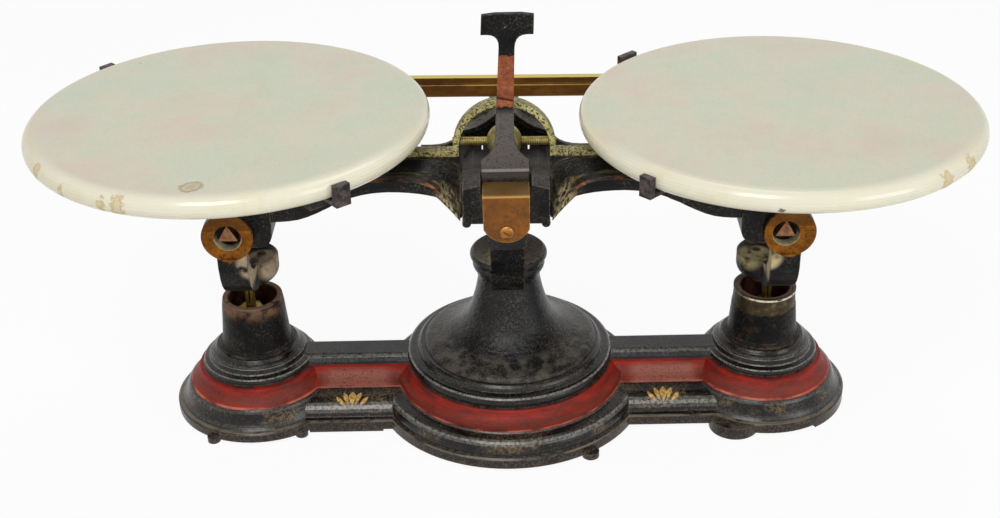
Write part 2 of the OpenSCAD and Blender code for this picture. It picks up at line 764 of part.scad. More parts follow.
// Straps from the rear wall of the beam to the ends of the bar
module bar_end_brackets() {
    wall_y = beam_half_w + 2.2;
    color(iron)
    leaning(knife_z) left_and_right() difference() {
        along_x(side_bracket_x - 4, side_bracket_x + 4) polygon([
            [beam_half_w, side_screw_z - 3], [beam_half_w, bar_z], [bar_y + bar_t, bar_z], [bar_y + bar_t, bar_z - 2.2],
            [wall_y + 2, bar_z - 2.2], [wall_y, bar_z - 4.4], [wall_y, side_screw_z - 3]
        ]);
        translate([side_bracket_x, beam_half_w - 1, side_screw_z]) rotate([-90, 0, 0]) cylinder(r = 1.4, h = 8);
        translate([side_bracket_x, bar_y + bar_t / 2, bar_z - 8]) cylinder(r = 1, h = 10);
    }
}

module bar_screws() {
    color(steel)
    leaning(knife_z) {
        for (side = [-1, 1]) {
            translate([side * side_bracket_x, beam_half_w + 2.2, side_screw_z])
                rotate([-90, 0, 0]) slotted_screw(1.9, 1, 1.4, 5.5);
            translate([side * side_bracket_x, bar_y + bar_t / 2, bar_z - 2.2])
                mirror([0, 0, 1]) slotted_screw(1.4, 0.9, 1, 4.4);
        }
        translate([0, bar_y + bar_t / 2, bar_z - tongue_t]) mirror([0, 0, 1]) slotted_screw(1.4, 0.9, 1, 5.2);
    }
}

// Sliding weight that straddles the bar
module poise() {
    half_l = 6;
    low_z = bar_z + 1.6;
    top_z = bar_z + bar_h + 2.4;
    color(brass)
    leaning(knife_z) difference() {
        translate([poise_x - half_l, bar_y - 1.6, low_z]) cube([2 * half_l, bar_t + 4.2, top_z - low_z]);
        translate([poise_x - half_l - 1, bar_y - 0.3, low_z - 1]) cube([2 * half_l + 2, bar_t + 0.6, bar_z + bar_h + 0.3 - low_z + 1]);
        translate([poise_x, bar_y + bar_t, bar_z + 4.6]) rotate([-90, 0, 0]) cylinder(r = 1.2, h = 8);
    }
}

module poise_screw() {
    color(brass)
    leaning(knife_z) translate([poise_x, bar_y + bar_t + 0.3, bar_z + 4.6]) rotate([-90, 0, 0]) union() {
        cylinder(r = 1.2, h = 3);
        translate([0, 0, 2.3]) cylinder(r = 2.6, h = 3.2);
    }
}

// Hanger casting: two ears on the knife edges, joined by uprights to a round drum above the post
module hanger(side) {
    ear_x = side * ear_out + hanger_x;
    arm_side = concat(
        [[-ear_y - ear_t, ear_z], [-ear_y - ear_t, 78]],
        bend([-ear_y - ear_t, 76], [-28, 64], [-12, 59], 6),
        [[-4, 58], [0, 60], [-5, 67.5], [-14, 69.5]],
        bend([-17, 70.5], [-24.6, 74], [-ear_y, 84], 5),
        [[-ear_y, ear_z]]
    );
    color(iron)
    hung(side) translate([side * arm_l, 0, 0]) difference() {
        union() {
            front_and_rear() {
                along_y(-ear_y - ear_t, -ear_y) translate([ear_x, ear_z]) circle(r = ear_r);
                along_y(-ear_y - ear_t, -ear_y) translate([hanger_x - ear_half_w, ear_z]) square([2 * ear_half_w, ear_top_z - ear_z]);
                along_y(-ear_y - ear_t - 0.6, -ear_y - ear_t + 0.1)
                    polygon([[ear_x - 3, ear_z - ear_r + 1], [ear_x + 3, ear_z - ear_r + 1], [ear_x, ear_z - ear_r - 2.6]]);
                along_x(hanger_x - ear_half_w, hanger_x + ear_half_w) polygon(arm_side);
            }
            translate([-side * (arm_l - end_x), 0, 0]) rotate_extrude() polygon(concat(
                [[0, drum_foot_z], [4.6, drum_foot_z], [5.2, drum_foot_z + 0.6]],
                arc(drum_r - 5.4, drum_low_z, 5.4, -68, 0, 6),
                [[drum_r, drum_top_z - 0.8], [drum_r - 0.8, drum_top_z], [0, drum_top_z]]
            ));
        }
        front_and_rear() along_y(-ear_y - ear_t - 1, -ear_y + 1) {
            translate([0, ear_z]) circle(r = ear_bore_r);
            polygon([
                [0, end_knife_z + knife_fit],
                [4.4, end_knife_z + knife_fit - 4.4 / tan(seat_half_angle)],
                [-4.4, end_knife_z + knife_fit - 4.4 / tan(seat_half_angle)]
            ]);
        }
        translate([0, 0, drum_foot_z - 1]) cylinder(r = stem_r, h = 8);
        front_and_rear() translate([0, -ear_y - ear_t / 2, ear_top_z - 6]) cylinder(r = 1.2, h = 8);
    }
}

module left_hanger() { hanger(-1); }

module right_hanger() { hanger(1); }

// Stem from the drum to the check rod: split near the top, forked at the bottom
module stem(side) {
    fork_in = check_half_t + 0.7;
    color(brass)
    hung(side) translate([side * arm_l, 0, 0]) difference() {
        union() {
            translate([0, 0, 17]) cylinder(r = stem_r, h = drum_foot_z + 7 - 17);
            translate([0, 0, 16]) cylinder(r = 4.6, h = 3);
            front_and_rear() translate([-3.4, fork_in, check_end_z]) cube([6.8, 2.2, 17 - check_end_z]);
            front_and_rear() translate([0, fork_in, check_end_z]) rotate([-90, 0, 0]) cylinder(r = 3.4, h = 2.2);
        }
        translate([-0.4, -5, 45.6]) cube([0.8, 10, 8]);
        translate([0, -10, check_end_z]) rotate([-90, 0, 0]) cylinder(r = stem_pin_r, h = 20);
    }
}

module left_stem() { stem(-1); }

module right_stem() { stem(1); }

// Six-sided lock nut on the stem, inside the post
module locknut(side) {
    color(brass)
    hung(side) translate([side * arm_l, 0, 40]) difference() {
        cylinder(r = 5, h = 3.6, $fn = 6);
        translate([0, 0, -1]) cylinder(r = stem_r, h = 6);
    }
}

module left_locknut() { locknut(-1); }

module right_locknut() { locknut(1); }

module stem_pin(side) {
    half = check_half_t + 0.7 + 2.2;
    color(steel)
    hung(side) translate([side * arm_l, -half, check_end_z]) rotate([-90, 0, 0]) cylinder(r = stem_pin_r, h = 2 * half);
}

module left_stem_pin() { stem_pin(-1); }

module right_stem_pin() { stem_pin(1); }

// Check rod: eyes at both ends and a raised one in the middle
module check_rod() {
    end_r = 3.4;
    mid_r = 4.6;
    color(steel)
    leaning(check_mid_z) difference() {
        along_y(-check_half_t, check_half_t) {
            polygon([
                [-arm_l, check_end_z - 2.4], [arm_l, check_end_z - 2.4], [arm_l, check_end_z + 2.4],
                [12, check_mid_z + 2.4], [-12, check_mid_z + 2.4], [-arm_l, check_end_z + 2.4]
            ]);
            for (side = [-1, 1]) translate([side * arm_l, check_end_z]) circle(r = end_r);
            translate([0, check_mid_z]) circle(r = mid_r);
        }
        for (side = [-1, 1]) translate([side * arm_l, -5, check_end_z])
            rotate([-90, 0, 0]) cylinder(r = stem_pin_r + pin_gap, h = 10);
        translate([0, -5, check_mid_z]) rotate([-90, 0, 0]) cylinder(r = check_pin_r + 0.08, h = 10);
    }
}

// Carrier of a plate: a bar across the two ears, four arms, pads under the plate and two upturned prongs
module spider(side, prongs, pads) {
    color(iron)
    hung(side) translate([side * arm_l, 0, 0]) difference() {
        union() {
            translate([-6.5, -ear_y - ear_t, spider_z]) cube([13, 2 * (ear_y + ear_t), 3]);
            translate([0, 0, spider_z]) cylinder(r = 11, h = spider_arm_z + spider_arm_h - spider_z);
            for (a = concat([for (p = prongs) p[0]], pads)) rotate(a) {
                translate([0, -3.5, spider_arm_z]) cube([riser_r + 4, 7, spider_arm_h]);
                translate([riser_r, -3.5, spider_arm_z]) cube([8, 7, pad_top_z - spider_arm_z]);
            }
            for (p = prongs) rotate(p[0]) {
                translate([riser_r, -p[1] / 2, prong_low_z]) cube([prong_in_r + prong_t - riser_r, p[1], pad_top_z - prong_low_z]);
                translate([riser_r, -p[1] / 2, prong_low_z - 1.2]) cube([12, p[1], 2]);
                translate([prong_in_r, -p[1] / 2, prong_low_z]) cube([prong_t, p[1], p[2] - prong_low_z]);
            }
        }
        front_and_rear() translate([0, -ear_y - ear_t / 2, spider_z - 2]) cylinder(r = 1.2, h = 10);
    }
}

module left_spider() { spider(-1, left_prongs, left_pads); }

module right_spider() { spider(1, right_prongs, right_pads); }

module spider_screws(side) {
    color(steel)
    hung(side) translate([side * arm_l, 0, 0]) front_and_rear()
        translate([0, -ear_y - ear_t / 2, spider_z + 3]) slotted_screw(2.1, 1.3, 1.2, 8.4);
}

module left_spider_screws() { spider_screws(-1); }

module right_spider_screws() { spider_screws(1); }

// Plate: a flat disc with a half-round edge
module plate(side) {
    edge = plate_t / 2;
    color(glaze)
    hung(side) translate([side * arm_l, 0, plate_z]) rotate_extrude() polygon(concat(
        [[0, 0]],
        arc(plate_r - edge, edge, edge, -90, 90, 10),
        [[0, plate_t]]
    ));
}

module left_plate() { plate(-1); }

module right_plate() { plate(1); }

base_casting();
left_post();
right_post();
post_collar();
pedestal();
pedestal_screws();
check_bracket();
check_bracket_screws();
check_pin();
bearing_blocks();
front_cover();
rear_cover();
cover_screws();
index_post();
rear_cap();
beam_casting();
center_knife();
left_knife();
right_knife();
arch_strap();
strap_screws();
adjusting_rod();
pointer();
bar_bracket();
bracket_screws();
graduated_bar();
bar_end_brackets();
bar_screws();
adjusting_nut();
poise();
poise_screw();
left_hanger();
left_stem();
left_locknut();
left_stem_pin();
left_spider();
left_spider_screws();
right_hanger();
right_stem();
right_locknut();
right_stem_pin();
right_spider();
right_spider_screws();
left_plate();
right_plate();
check_rod();
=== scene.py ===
"""Counter balance with two white plates: finishes, small trim and stage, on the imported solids."""

import math

import bmesh
import bpy
from mathutils import Matrix, Vector


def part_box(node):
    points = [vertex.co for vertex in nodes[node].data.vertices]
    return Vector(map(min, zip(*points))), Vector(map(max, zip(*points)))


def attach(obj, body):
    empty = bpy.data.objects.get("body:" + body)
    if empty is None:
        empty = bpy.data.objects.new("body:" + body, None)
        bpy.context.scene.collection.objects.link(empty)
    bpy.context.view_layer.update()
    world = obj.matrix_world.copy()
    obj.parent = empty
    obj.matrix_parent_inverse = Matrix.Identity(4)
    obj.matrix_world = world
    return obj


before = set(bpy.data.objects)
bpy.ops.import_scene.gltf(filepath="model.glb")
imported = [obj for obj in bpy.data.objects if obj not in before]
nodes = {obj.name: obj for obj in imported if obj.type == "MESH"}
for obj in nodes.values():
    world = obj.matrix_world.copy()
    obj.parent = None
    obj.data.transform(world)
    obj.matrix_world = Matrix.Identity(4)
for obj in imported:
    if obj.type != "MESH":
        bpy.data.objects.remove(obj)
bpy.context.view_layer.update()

# Places on the object, in metres. An X holds on both sides, outward from the middle, except
# where it says otherwise. A pair is the two ends of a band, or where a mask is 0 and where it is 1

# Base: foot, seam, torus, red band, bead, and the bridges between its three round parts
FOOT_Z = (0.0064, 0.0040)
SEAM_Z = (0.0052, 0.0057)
TORUS_Z = (0.0068, 0.0122)
TORUS_WEAR_Z = (0.0075, 0.0122)
RED_Z = (0.0129, 0.0201)
RED_LIP_Z = (0.0129, 0.0136)
RED_MIDDLE_Z = (0.0139, 0.0172)
RED_BACK_Y = (0.0120, 0.0070)
BEAD_Z = (0.0205, 0.0265)
BRIDGE_X = (0.0500, 0.0760)
BRIDGE_Y = (0.0205, 0.0175)
BRIDGE_DUST_Z = (0.0195, 0.0165)

# Posts: middle, rim, bore and upper lip
POST_X = 0.1044
POST_RIM_Z = (0.0425, 0.0485)
POST_BORE_R = (0.0108, 0.0101)
POST_BORE_Z = (0.0300, 0.0440)
POST_LIP_Z = (0.0494, 0.0497)

# Pedestal: foot of the bell, round table, its top, and the foot of the front upright on it
BELL_FOOT_Z = (0.0275, 0.0330)
TABLE_Z = (0.0550, 0.0600)
TABLE_TOP_Z = (0.0685, 0.0695)
UPRIGHT_XY = (0.0, -0.006)
UPRIGHT_R = (0.0105, 0.0060)

# Index post: bend, red part, the crack in it and a pale speck on the head
BEND_Z = 0.1115
RED_STEM_Z = (0.1375, 0.1575)
CRACK_Z = (0.1402, 0.1411)
SPECK = (0.0008, None, 0.1685)

# Hangers: middle of each front ear as (x, z), radius and front of its gold disc, and its eye. The
# left disc runs down to a point, that far below its middle
LEFT_EAR = (-0.1055, 0.0922)
RIGHT_EAR = (0.1069, 0.0898)
EAR_R = 0.0099
EAR_Y = (-0.0284, -0.0290)
LEFT_TIP = 0.0111
EYE_R = 0.0053
EYE_Y = (-0.0150, -0.0200)
# Inner sides of the curved arms, and spots on the arms: x as a share of the ear's own, y, z
CHEEK_Y = (-0.0270, -0.0075)
CHEEK_Z = (0.0672, 0.0860)
LOBE = (0.923, -0.004, 0.0675)
LOBE_R = (0.0085, 0.0055)
ARM_PATCH = (0.925, -0.027, 0.080)
ARM_PATCH_R = (0.0075, 0.0050)
# Painted shade: a dark spot at this place stands for the shadowed hole in the round table's top
EYELET = (0.935, 0.0, 0.0680)
EYELET_R = (0.0026, 0.0016)

# Beam: end knives, arms, the bead and cove along their front, and the hub with dirt beside it.
# The bead's worn copper, kept to its upward side as a painted highlight, is weaker from
# RUBBED_LESS_X on. RUBBED_END_X ends it, on the right arm only
KNIFE_X = 0.1053
ARM_START_X = (0.0190, 0.0230)
ARM_END_X = (0.0840, 0.0780)
ARM_BEAD_Y = (-0.0192, -0.0199)
ARM_COVE_Y = (-0.0188, -0.0105)
RUBBED_LESS_X = (0.0320, 0.0420)
RUBBED_END_X = (0.0560, 0.0460)
HUB_X = (0.0185, 0.0175)
HUB_SIDE_X = (0.0172, 0.0182)
DIRT_X = (0.0310, 0.0220)
DIRT_Y = (-0.0100, -0.0130)
DIRT_Z = (0.1075, 0.1015)

# Bearing covers, graduated bar, adjusting rod and the plates' carriers
# The first pair is the height of a painted highlight line round the bearing covers
COVER_HIGHLIGHT_Z = (0.1056, 0.1062)
BAR_MARK_Z = (0.1098, 0.1140)
BAR_MARK_STEP = 0.0048
ROD_PITCH = 0.0009
PRONG_Z = (0.1195, 0.1215)

# Plates: distances from the middle at which the rim's tones come in, and their front half. The
# front and edge tones are painted light
RIM_FRONT_R = (0.0690, 0.0745)
RIM_EDGE_R = (0.0735, 0.0762)
RIM_CREAM_R = (0.0690, 0.0765)
RIM_FRONT_Y = (-0.0200, -0.0600)

# Stains on the plates: x, y, radius, strength. Chips in the glaze: x, y, radius
LEFT_STAINS = [
    (-0.1082, -0.0648, 0.0042, 0.9),
    (-0.1000, -0.0150, 0.0150, 0.1),
    (-0.1250, 0.0120, 0.0120, 0.09),
    (-0.1030, 0.0560, 0.0100, 0.1),
    (-0.0700, 0.0050, 0.0110, 0.1),
    (-0.1640, -0.0100, 0.0080, 0.12),
    (-0.0760, -0.0450, 0.0120, 0.1),
]
LEFT_CHIPS = [
    (-0.1325, -0.0716, 0.0030),
    (-0.1390, -0.0700, 0.0022),
    (-0.1676, -0.0446, 0.0028),
    (-0.1560, -0.0585, 0.0018),
]
RIGHT_STAINS = [
    (0.0860, -0.0250, 0.0160, 0.1),
    (0.1200, 0.0200, 0.0120, 0.08),
    (0.0700, 0.0250, 0.0130, 0.09),
    (0.1400, -0.0350, 0.0140, 0.1),
    (0.1100, 0.0600, 0.0120, 0.08),
]
RIGHT_CHIPS = [(0.1544, -0.0600, 0.0034), (0.1650, -0.0480, 0.0030)]
# Dark spot low on the right plate's front edge: x, y, z
EDGE_SPOT = (0.0934, -0.0757, 0.1232)

# Front of a bridge from its lower torus up to the foot of the red cove, as (y, z) in mm
TORUS_MIDDLE = (-16.6, 3.2)
TORUS_R = 9.0
BRIDGE = [
    (
        TORUS_MIDDLE[0] - TORUS_R * math.cos(math.radians(a)),
        TORUS_MIDDLE[1] + TORUS_R * math.sin(math.radians(a)),
    )
    for a in range(20, 79, 4)
] + [(-14.6, 12.5), (-13.6, 13.0)]

# Petals of the ornament: where each starts and ends, across and up, and its half width, in mm
PETALS = [
    ((0.0, -3.5), (0.1, 3.5), 1.5),
    ((-1.4, -3.2), (-3.5, 3.0), 0.95),
    ((1.4, -3.2), (3.4, 3.1), 0.95),
    ((-2.9, -3.7), (-6.5, 0.8), 0.85),
    ((2.9, -3.7), (6.4, 0.4), 0.85),
]
PETAL_ROWS, PETAL_COLUMNS = 12, 6
PETAL_LIFT, PETAL_CROWN = 0.07, 0.12

# Stage: the floor's size, how far it lies below the feet, and the share of it that shows as
# plain white, where the rest takes the shadow
FLOOR_R = 9.0
FLOOR_DROP = 0.0002
FLOOR_WHITE = 0.92
ROOM_LIGHT = 0.32
# Lamps: name, place, size and watts
LAMPS = [
    ("key", (-0.2, -0.72, 1.0), 0.6, 7.4),
    ("fill", (0.8, -0.6, 0.45), 0.5, 2.2),
    ("top", (0.1, 0.45, 0.95), 0.5, 2.0),
]
LAMP_TARGET = (0, 0, 0.07)

# The photograph's camera: focal length and frame in pixels, place in metres, turn in degrees
FOCAL_PX, FRAME_PX = 1491.06, 1000.0
CAMERA_PLACE = (0.001775, -0.523457, 0.358429)
CAMERA_TURN = (-0.528, 29.314, -1.365)


def tint(colour, lift=1.0):
    """A display colour, 0 to 255, as the linear one that shaders use."""
    return tuple(((c / 255 + 0.055) / 1.055) ** 2.4 * lift for c in colour) + (1.0,)


def ink(value):
    """What a colour socket takes: a display colour becomes linear, anything else stays."""
    return tint(value) if isinstance(value, tuple) and len(value) == 3 else value


class Surface:
    """A layered node material, with patterns in the object's own metres."""

    def __init__(self, name):
        self.material = bpy.data.materials.new(name)
        self.material.use_nodes = True
        self.tree = self.material.node_tree
        self.tree.nodes.clear()
        self.shader = self.add("ShaderNodeBsdfPrincipled")
        output = self.add("ShaderNodeOutputMaterial")
        self.tree.links.new(self.shader.outputs["BSDF"], output.inputs["Surface"])
        coords = self.add("ShaderNodeTexCoord")
        self.where = coords.outputs["Object"]
        self.x, self.y, self.z = self.split(self.where)
        self.face_x, self.face_y, self.up = self.split(coords.outputs["Normal"])
        self.side = self.math("ABSOLUTE", self.x)
        self.colour = self.rough = self.normal = None
        self.metal = 0.0

    def add(self, kind, **settings):
        node = self.tree.nodes.new(kind)
        for key, value in settings.items():
            setattr(node, key, value)
        return node

    def feed(self, socket, value):
        """Links an output to the socket, or sets a plain value on it."""
        if isinstance(value, bpy.types.NodeSocket):
            self.tree.links.new(value, socket)
        else:
            socket.default_value = value

    def split(self, vector):
        node = self.add("ShaderNodeSeparateXYZ")
        self.feed(node.inputs[0], vector)
        return node.outputs[0], node.outputs[1], node.outputs[2]

    def math(self, operation, a, b=0.0):
        node = self.add("ShaderNodeMath", operation=operation)
        self.feed(node.inputs[0], a)
        self.feed(node.inputs[1], b)
        return node.outputs[0]

    def times(self, *values):
        made = values[0]
        for value in values[1:]:
            made = self.math("MULTIPLY", made, value)
        return made

    def minus(self, a, b):
        return self.math("SUBTRACT", a, b)

    def shaken(self, value, noise, amount):
        """The value, moved up or down with the noise."""
        return self.math("ADD", value, self.times(self.minus(noise, 0.5), amount))

    def fade(self, value, start, end):
        """0 at start, 1 at end, smooth between; start may be the higher one."""
        node = self.add("ShaderNodeMapRange", interpolation_type="SMOOTHSTEP")
        self.feed(node.inputs["Value"], value)
        node.inputs["From Min"].default_value = start
        node.inputs["From Max"].default_value = end
        return node.outputs["Result"]

    def below(self, value, limit, soft=0.0001):
        """1 under the limit, 0 over it."""
        return self.fade(value, limit + soft, limit - soft)

    def band(self, value, low, high, soft):
        """1 between low and high."""
        return self.times(self.fade(value, low - soft, low + soft), self.below(value, high, soft))

    def noise(self, size, detail=3.0, rough=0.55, stretch=(1, 1, 1), shift=0.0):
        """Noise whose blotches are about size metres across; stretch below 1 draws them out."""
        mapping = self.add("ShaderNodeMapping")
        self.feed(mapping.inputs["Vector"], self.where)
        mapping.inputs["Scale"].default_value = stretch
        mapping.inputs["Location"].default_value = (shift, shift * 0.7, shift * 1.3)
        node = self.add("ShaderNodeTexNoise")
        self.feed(node.inputs["Vector"], mapping.outputs[0])
        node.inputs["Scale"].default_value = 1 / size
        node.inputs["Detail"].default_value = detail
        node.inputs["Roughness"].default_value = rough
        return node.outputs[0]

    def specks(self, size, radius, share, shift=0.0):
        """Round specks: cells of that size, of which a share holds a speck of that radius."""
        mapping = self.add("ShaderNodeMapping")
        self.feed(mapping.inputs["Vector"], self.where)
        mapping.inputs["Location"].default_value = (shift, shift, shift)
        node = self.add("ShaderNodeTexVoronoi")
        self.feed(node.inputs["Vector"], mapping.outputs[0])
        node.inputs["Scale"].default_value = 1 / size
        chosen = self.split(node.outputs["Color"])[0]
        spot = self.fade(node.outputs["Distance"], radius / size, radius / size * 0.5)
        return self.times(spot, self.math("LESS_THAN", chosen, share))

    def distance(self, x, y=None, z=None):
        """Distance from a line or point, of which any coordinate may be left out."""
        total = None
        for axis, value in ((self.x, x), (self.y, y), (self.z, z)):
            if value is not None:
                square = self.math("POWER", self.minus(axis, value), 2.0)
                total = square if total is None else self.math("ADD", total, square)
        return self.math("SQRT", total)

    def edge(self, radius, low=0.995, high=0.86):
        """1 on an edge or crease of that radius."""
        bevel = self.add("ShaderNodeBevel", samples=4)
        bevel.inputs["Radius"].default_value = radius
        geometry = self.add("ShaderNodeNewGeometry")
        dot = self.add("ShaderNodeVectorMath", operation="DOT_PRODUCT")
        self.feed(dot.inputs[0], bevel.outputs[0])
        self.feed(dot.inputs[1], geometry.outputs["Normal"])
        return self.fade(dot.outputs["Value"], low, high)

    def recess(self, reach, low=0.85, high=0.4):
        """1 where other surfaces lie within reach, as in a groove."""
        node = self.add("ShaderNodeAmbientOcclusion", samples=4)
        node.inputs["Distance"].default_value = reach
        return self.fade(node.outputs["AO"], low, high)

    def mix(self, factor, a, b):
        node = self.add("ShaderNodeMix", data_type="RGBA")
        self.feed(node.inputs[0], factor)
        self.feed(node.inputs[6], ink(a))
        self.feed(node.inputs[7], ink(b))
        return node.outputs[2]

    def mix_value(self, factor, a, b):
        node = self.add("ShaderNodeMix")
        self.feed(node.inputs[0], factor)
        self.feed(node.inputs[2], a)
        self.feed(node.inputs[3], b)
        return node.outputs[0]

    def tones(self, value, *stops):
        """Colours along a value, each stop a position and a colour."""
        node = self.add("ShaderNodeValToRGB")
        ramp = node.color_ramp
        while len(ramp.elements) < len(stops):
            ramp.elements.new(0.5)
        for element, (position, colour) in zip(ramp.elements, stops):
            element.position = position
            element.color = ink(colour)
        self.feed(node.inputs[0], value)
        return node.outputs[0]

    def start(self, colour, rough):
        self.colour = colour
        self.rough = rough

    def cover(self, mask, colour, rough=None):
        """Lays a colour, and a roughness, over what is there where the mask is 1."""
        self.colour = self.mix(mask, self.colour, colour)
        if rough is not None:
            self.rough = self.mix_value(mask, self.rough, rough)

    def soften(self, radius):
        """Rounds the look of sharp edges."""
        bevel = self.add("ShaderNodeBevel", samples=4)
        bevel.inputs["Radius"].default_value = radius
        self.normal = bevel.outputs[0]

    def bump(self, height, depth):
        node = self.add("ShaderNodeBump")
        self.feed(node.inputs["Height"], height)
        node.inputs["Distance"].default_value = depth
        node.inputs["Strength"].default_value = 1.0
        if self.normal is not None:
            self.feed(node.inputs["Normal"], self.normal)
        self.normal = node.outputs[0]

    def done(self, specular=0.5, coat=0.0):
        self.feed(self.shader.inputs["Base Color"], self.colour)
        self.feed(self.shader.inputs["Roughness"], self.rough)
        self.feed(self.shader.inputs["Metallic"], self.metal)
        self.shader.inputs["Specular IOR Level"].default_value = specular
        self.shader.inputs["Coat Weight"].default_value = coat
        self.shader.inputs["Coat Roughness"].default_value = 0.12
        self.feed(self.shader.inputs["Normal"], self.normal)
        return self.material


def black_iron(name, gloss=0.34, dust=0.5, wear=0.5, rust=0.25, lift=1.0, grain=1.0, shift=0.0):
    """Old black paint over cast iron: dust in the hollows, rubbed edges and rusty patches."""
    s = Surface(name)
    broad = s.noise(0.014, 4.0, shift=shift)
    fine = s.noise(0.0016, 4.0, 0.6, shift=shift)
    grit = s.noise(0.0007, 3.0, 0.7, shift=shift + 2)
    paint_tones = s.tones(broad, (0.35, tint((7, 6, 8), lift)), (0.7, tint((19, 18, 18), lift)))
    s.start(paint_tones, s.mix_value(broad, gloss - 0.1, gloss + 0.12))
    gritty = s.times(s.fade(grit, 0.5, 0.66), s.fade(broad, 0.35, 0.6), 0.5 * dust + 0.12)
    s.cover(gritty, (112, 106, 94), 0.6)
    rusty = s.fade(s.noise(0.006, 5.0, 0.65, shift=shift + 3), 0.56, 0.74)
    s.cover(s.times(rusty, rust), (92, 62, 42), 0.75)
    s.cover(s.times(s.recess(0.006), s.fade(fine, 0.3, 0.6), dust), (108, 100, 88), 0.85)
    bare = s.fade(s.noise(0.003, 4.0, shift=shift + 5), 0.38, 0.62)
    rubbed = s.times(s.edge(0.0009), bare, wear)
    s.cover(rubbed, s.tones(fine, (0.35, (92, 72, 54)), (0.65, (152, 136, 116))), 0.45)
    s.soften(0.0005)
    s.bump(fine, 0.0002 * grain)
    s.bump(grit, 0.0001 * grain)
    s.bump(s.noise(0.005, 2.0, shift=shift + 1), 0.0003 * grain)
    return s


def base_finish():
    """Gloss black enamel with painted highlights along the tops of its round mouldings, and a red
    band round every moulding.
    """
    s = black_iron("base_enamel", gloss=0.16, dust=0.4, wear=0.5, rust=0.15, grain=0.45)
    z = s.shaken(s.z, s.noise(0.004, 3.0), 0.0004)
    streak = s.noise(0.0035, 4.0, 0.6, stretch=(0.35, 0.35, 1.6), shift=2.0)
    fine = s.noise(0.0011, 3.0, shift=4.0)
    speckle = s.noise(0.0011, 4.0, 0.7, shift=11.0)
    patch = s.fade(s.noise(0.013, 3.0, shift=1.0), 0.44, 0.62)
    worn_torus = s.times(s.band(s.z, *TORUS_WEAR_Z, 0.0014), patch)
    s.cover(s.times(worn_torus, s.fade(speckle, 0.4, 0.62), 0.6), (138, 114, 80), 0.4)
    low = s.times(s.fade(s.z, *FOOT_Z), s.fade(speckle, 0.44, 0.62))
    s.cover(s.times(low, 0.45), (108, 88, 70), 0.75)
    # Painted highlight: light grey streaks on the upward side of the torus and the bead
    rounds = s.math("MAXIMUM", s.band(s.z, *TORUS_Z, 0.0012), s.band(s.z, *BEAD_Z, 0.0012))
    crest_highlight = s.times(rounds, s.band(s.up, 0.6, 0.8, 0.12), s.fade(speckle, 0.3, 0.6))
    s.cover(s.times(crest_highlight, 0.8), (150, 146, 138), 0.25)
    seam = s.times(s.band(s.z, *SEAM_Z, 0.0001), s.fade(streak, 0.36, 0.56))
    s.cover(s.times(seam, 0.5), (140, 128, 108), 0.5)

    red = s.tones(streak, (0.3, (84, 18, 8)), (0.5, (138, 24, 10)), (0.72, (166, 34, 16)))
    middle = s.band(s.z, *RED_MIDDLE_Z, 0.0014)
    red = s.mix(s.times(middle, s.fade(fine, 0.32, 0.6), 0.8), red, (96, 50, 34))
    red = s.mix(s.times(s.fade(speckle, 0.48, 0.64), 0.6), red, (78, 36, 26))
    # Painted highlight: a pale pink line along the lower lip of the red band
    lip = s.band(s.z, *RED_LIP_Z, 0.0002)
    red = s.mix(s.times(lip, s.fade(streak, 0.36, 0.6), 0.75), red, (206, 120, 96))
    near = s.fade(s.math("ABSOLUTE", s.y), *BRIDGE_Y)
    bridge = s.times(near, s.band(s.side, *BRIDGE_X, 0.003))
    dusty = s.times(bridge, s.fade(s.z, *BRIDGE_DUST_Z), s.fade(speckle, 0.3, 0.52))
    red = s.mix(s.times(dusty, 0.85), red, (150, 92, 78))
    lost = s.fade(s.noise(0.0045, 5.0, 0.7, shift=7.0), 0.62, 0.7)
    kept = s.minus(1.0, s.times(lost, 0.6))
    front = s.fade(s.shaken(s.y, streak, 0.012), *RED_BACK_Y)
    s.cover(s.times(s.band(z, *RED_Z, 0.00015), kept, front), red, 0.58)
    return s.done(specular=0.3)


def post_finish():
    """Black posts whose bare rim and bore are brown."""
    s = black_iron("post_iron", gloss=0.34, dust=0.35, wear=0.45, rust=0.4, shift=1.7)
    patch = s.noise(0.0055, 4.0, 0.6, shift=9.0)
    rim = s.times(s.fade(s.z, *POST_RIM_Z), s.fade(patch, 0.3, 0.58))
    s.cover(rim, s.tones(patch, (0.35, (86, 62, 48)), (0.65, (134, 102, 80))), 0.62)
    across = s.math("POWER", s.minus(s.side, POST_X), 2.0)
    radius = s.math("SQRT", s.math("ADD", across, s.math("POWER", s.y, 2.0)))
    inside = s.times(s.fade(radius, *POST_BORE_R), s.fade(s.z, *POST_BORE_Z))
    s.cover(inside, s.tones(patch, (0.4, (26, 14, 10)), (0.7, (96, 54, 38))), 0.8)
    lip = s.times(s.fade(s.z, *POST_LIP_Z), s.fade(patch, 0.3, 0.45))
    s.cover(s.times(lip, 0.6), (150, 120, 98), 0.4)
    return s.done(specular=0.1)


def pedestal_finish():
    """The bell is glossy and rough cast, its round table dusty and tan by the upright."""
    s = black_iron("pedestal_iron", gloss=0.26, dust=0.75, wear=0.5, rust=0.12, shift=3.1)
    fine = s.noise(0.0014, 4.0, 0.62, shift=5.0)
    table = s.times(s.fade(s.up, 0.5, 0.85), s.fade(s.z, *TABLE_Z), s.fade(fine, 0.25, 0.6))
    s.cover(s.times(table, 0.85), (126, 116, 98), 0.8)
    by_upright = s.fade(s.distance(*UPRIGHT_XY), *UPRIGHT_R)
    tan = s.times(s.fade(s.up, 0.5, 0.85), s.fade(s.z, *TABLE_TOP_Z), by_upright)
    s.cover(s.times(tan, s.fade(fine, 0.35, 0.55)), (186, 160, 118), 0.7)
    patch = s.fade(s.noise(0.004, 4.0, shift=2.0), 0.42, 0.66)
    foot = s.times(s.band(s.z, *BELL_FOOT_Z, 0.001), patch)
    s.cover(s.times(foot, 0.4), (110, 102, 90), 0.6)
    s.bump(fine, 0.0003)
    return s.done(specular=0.26)


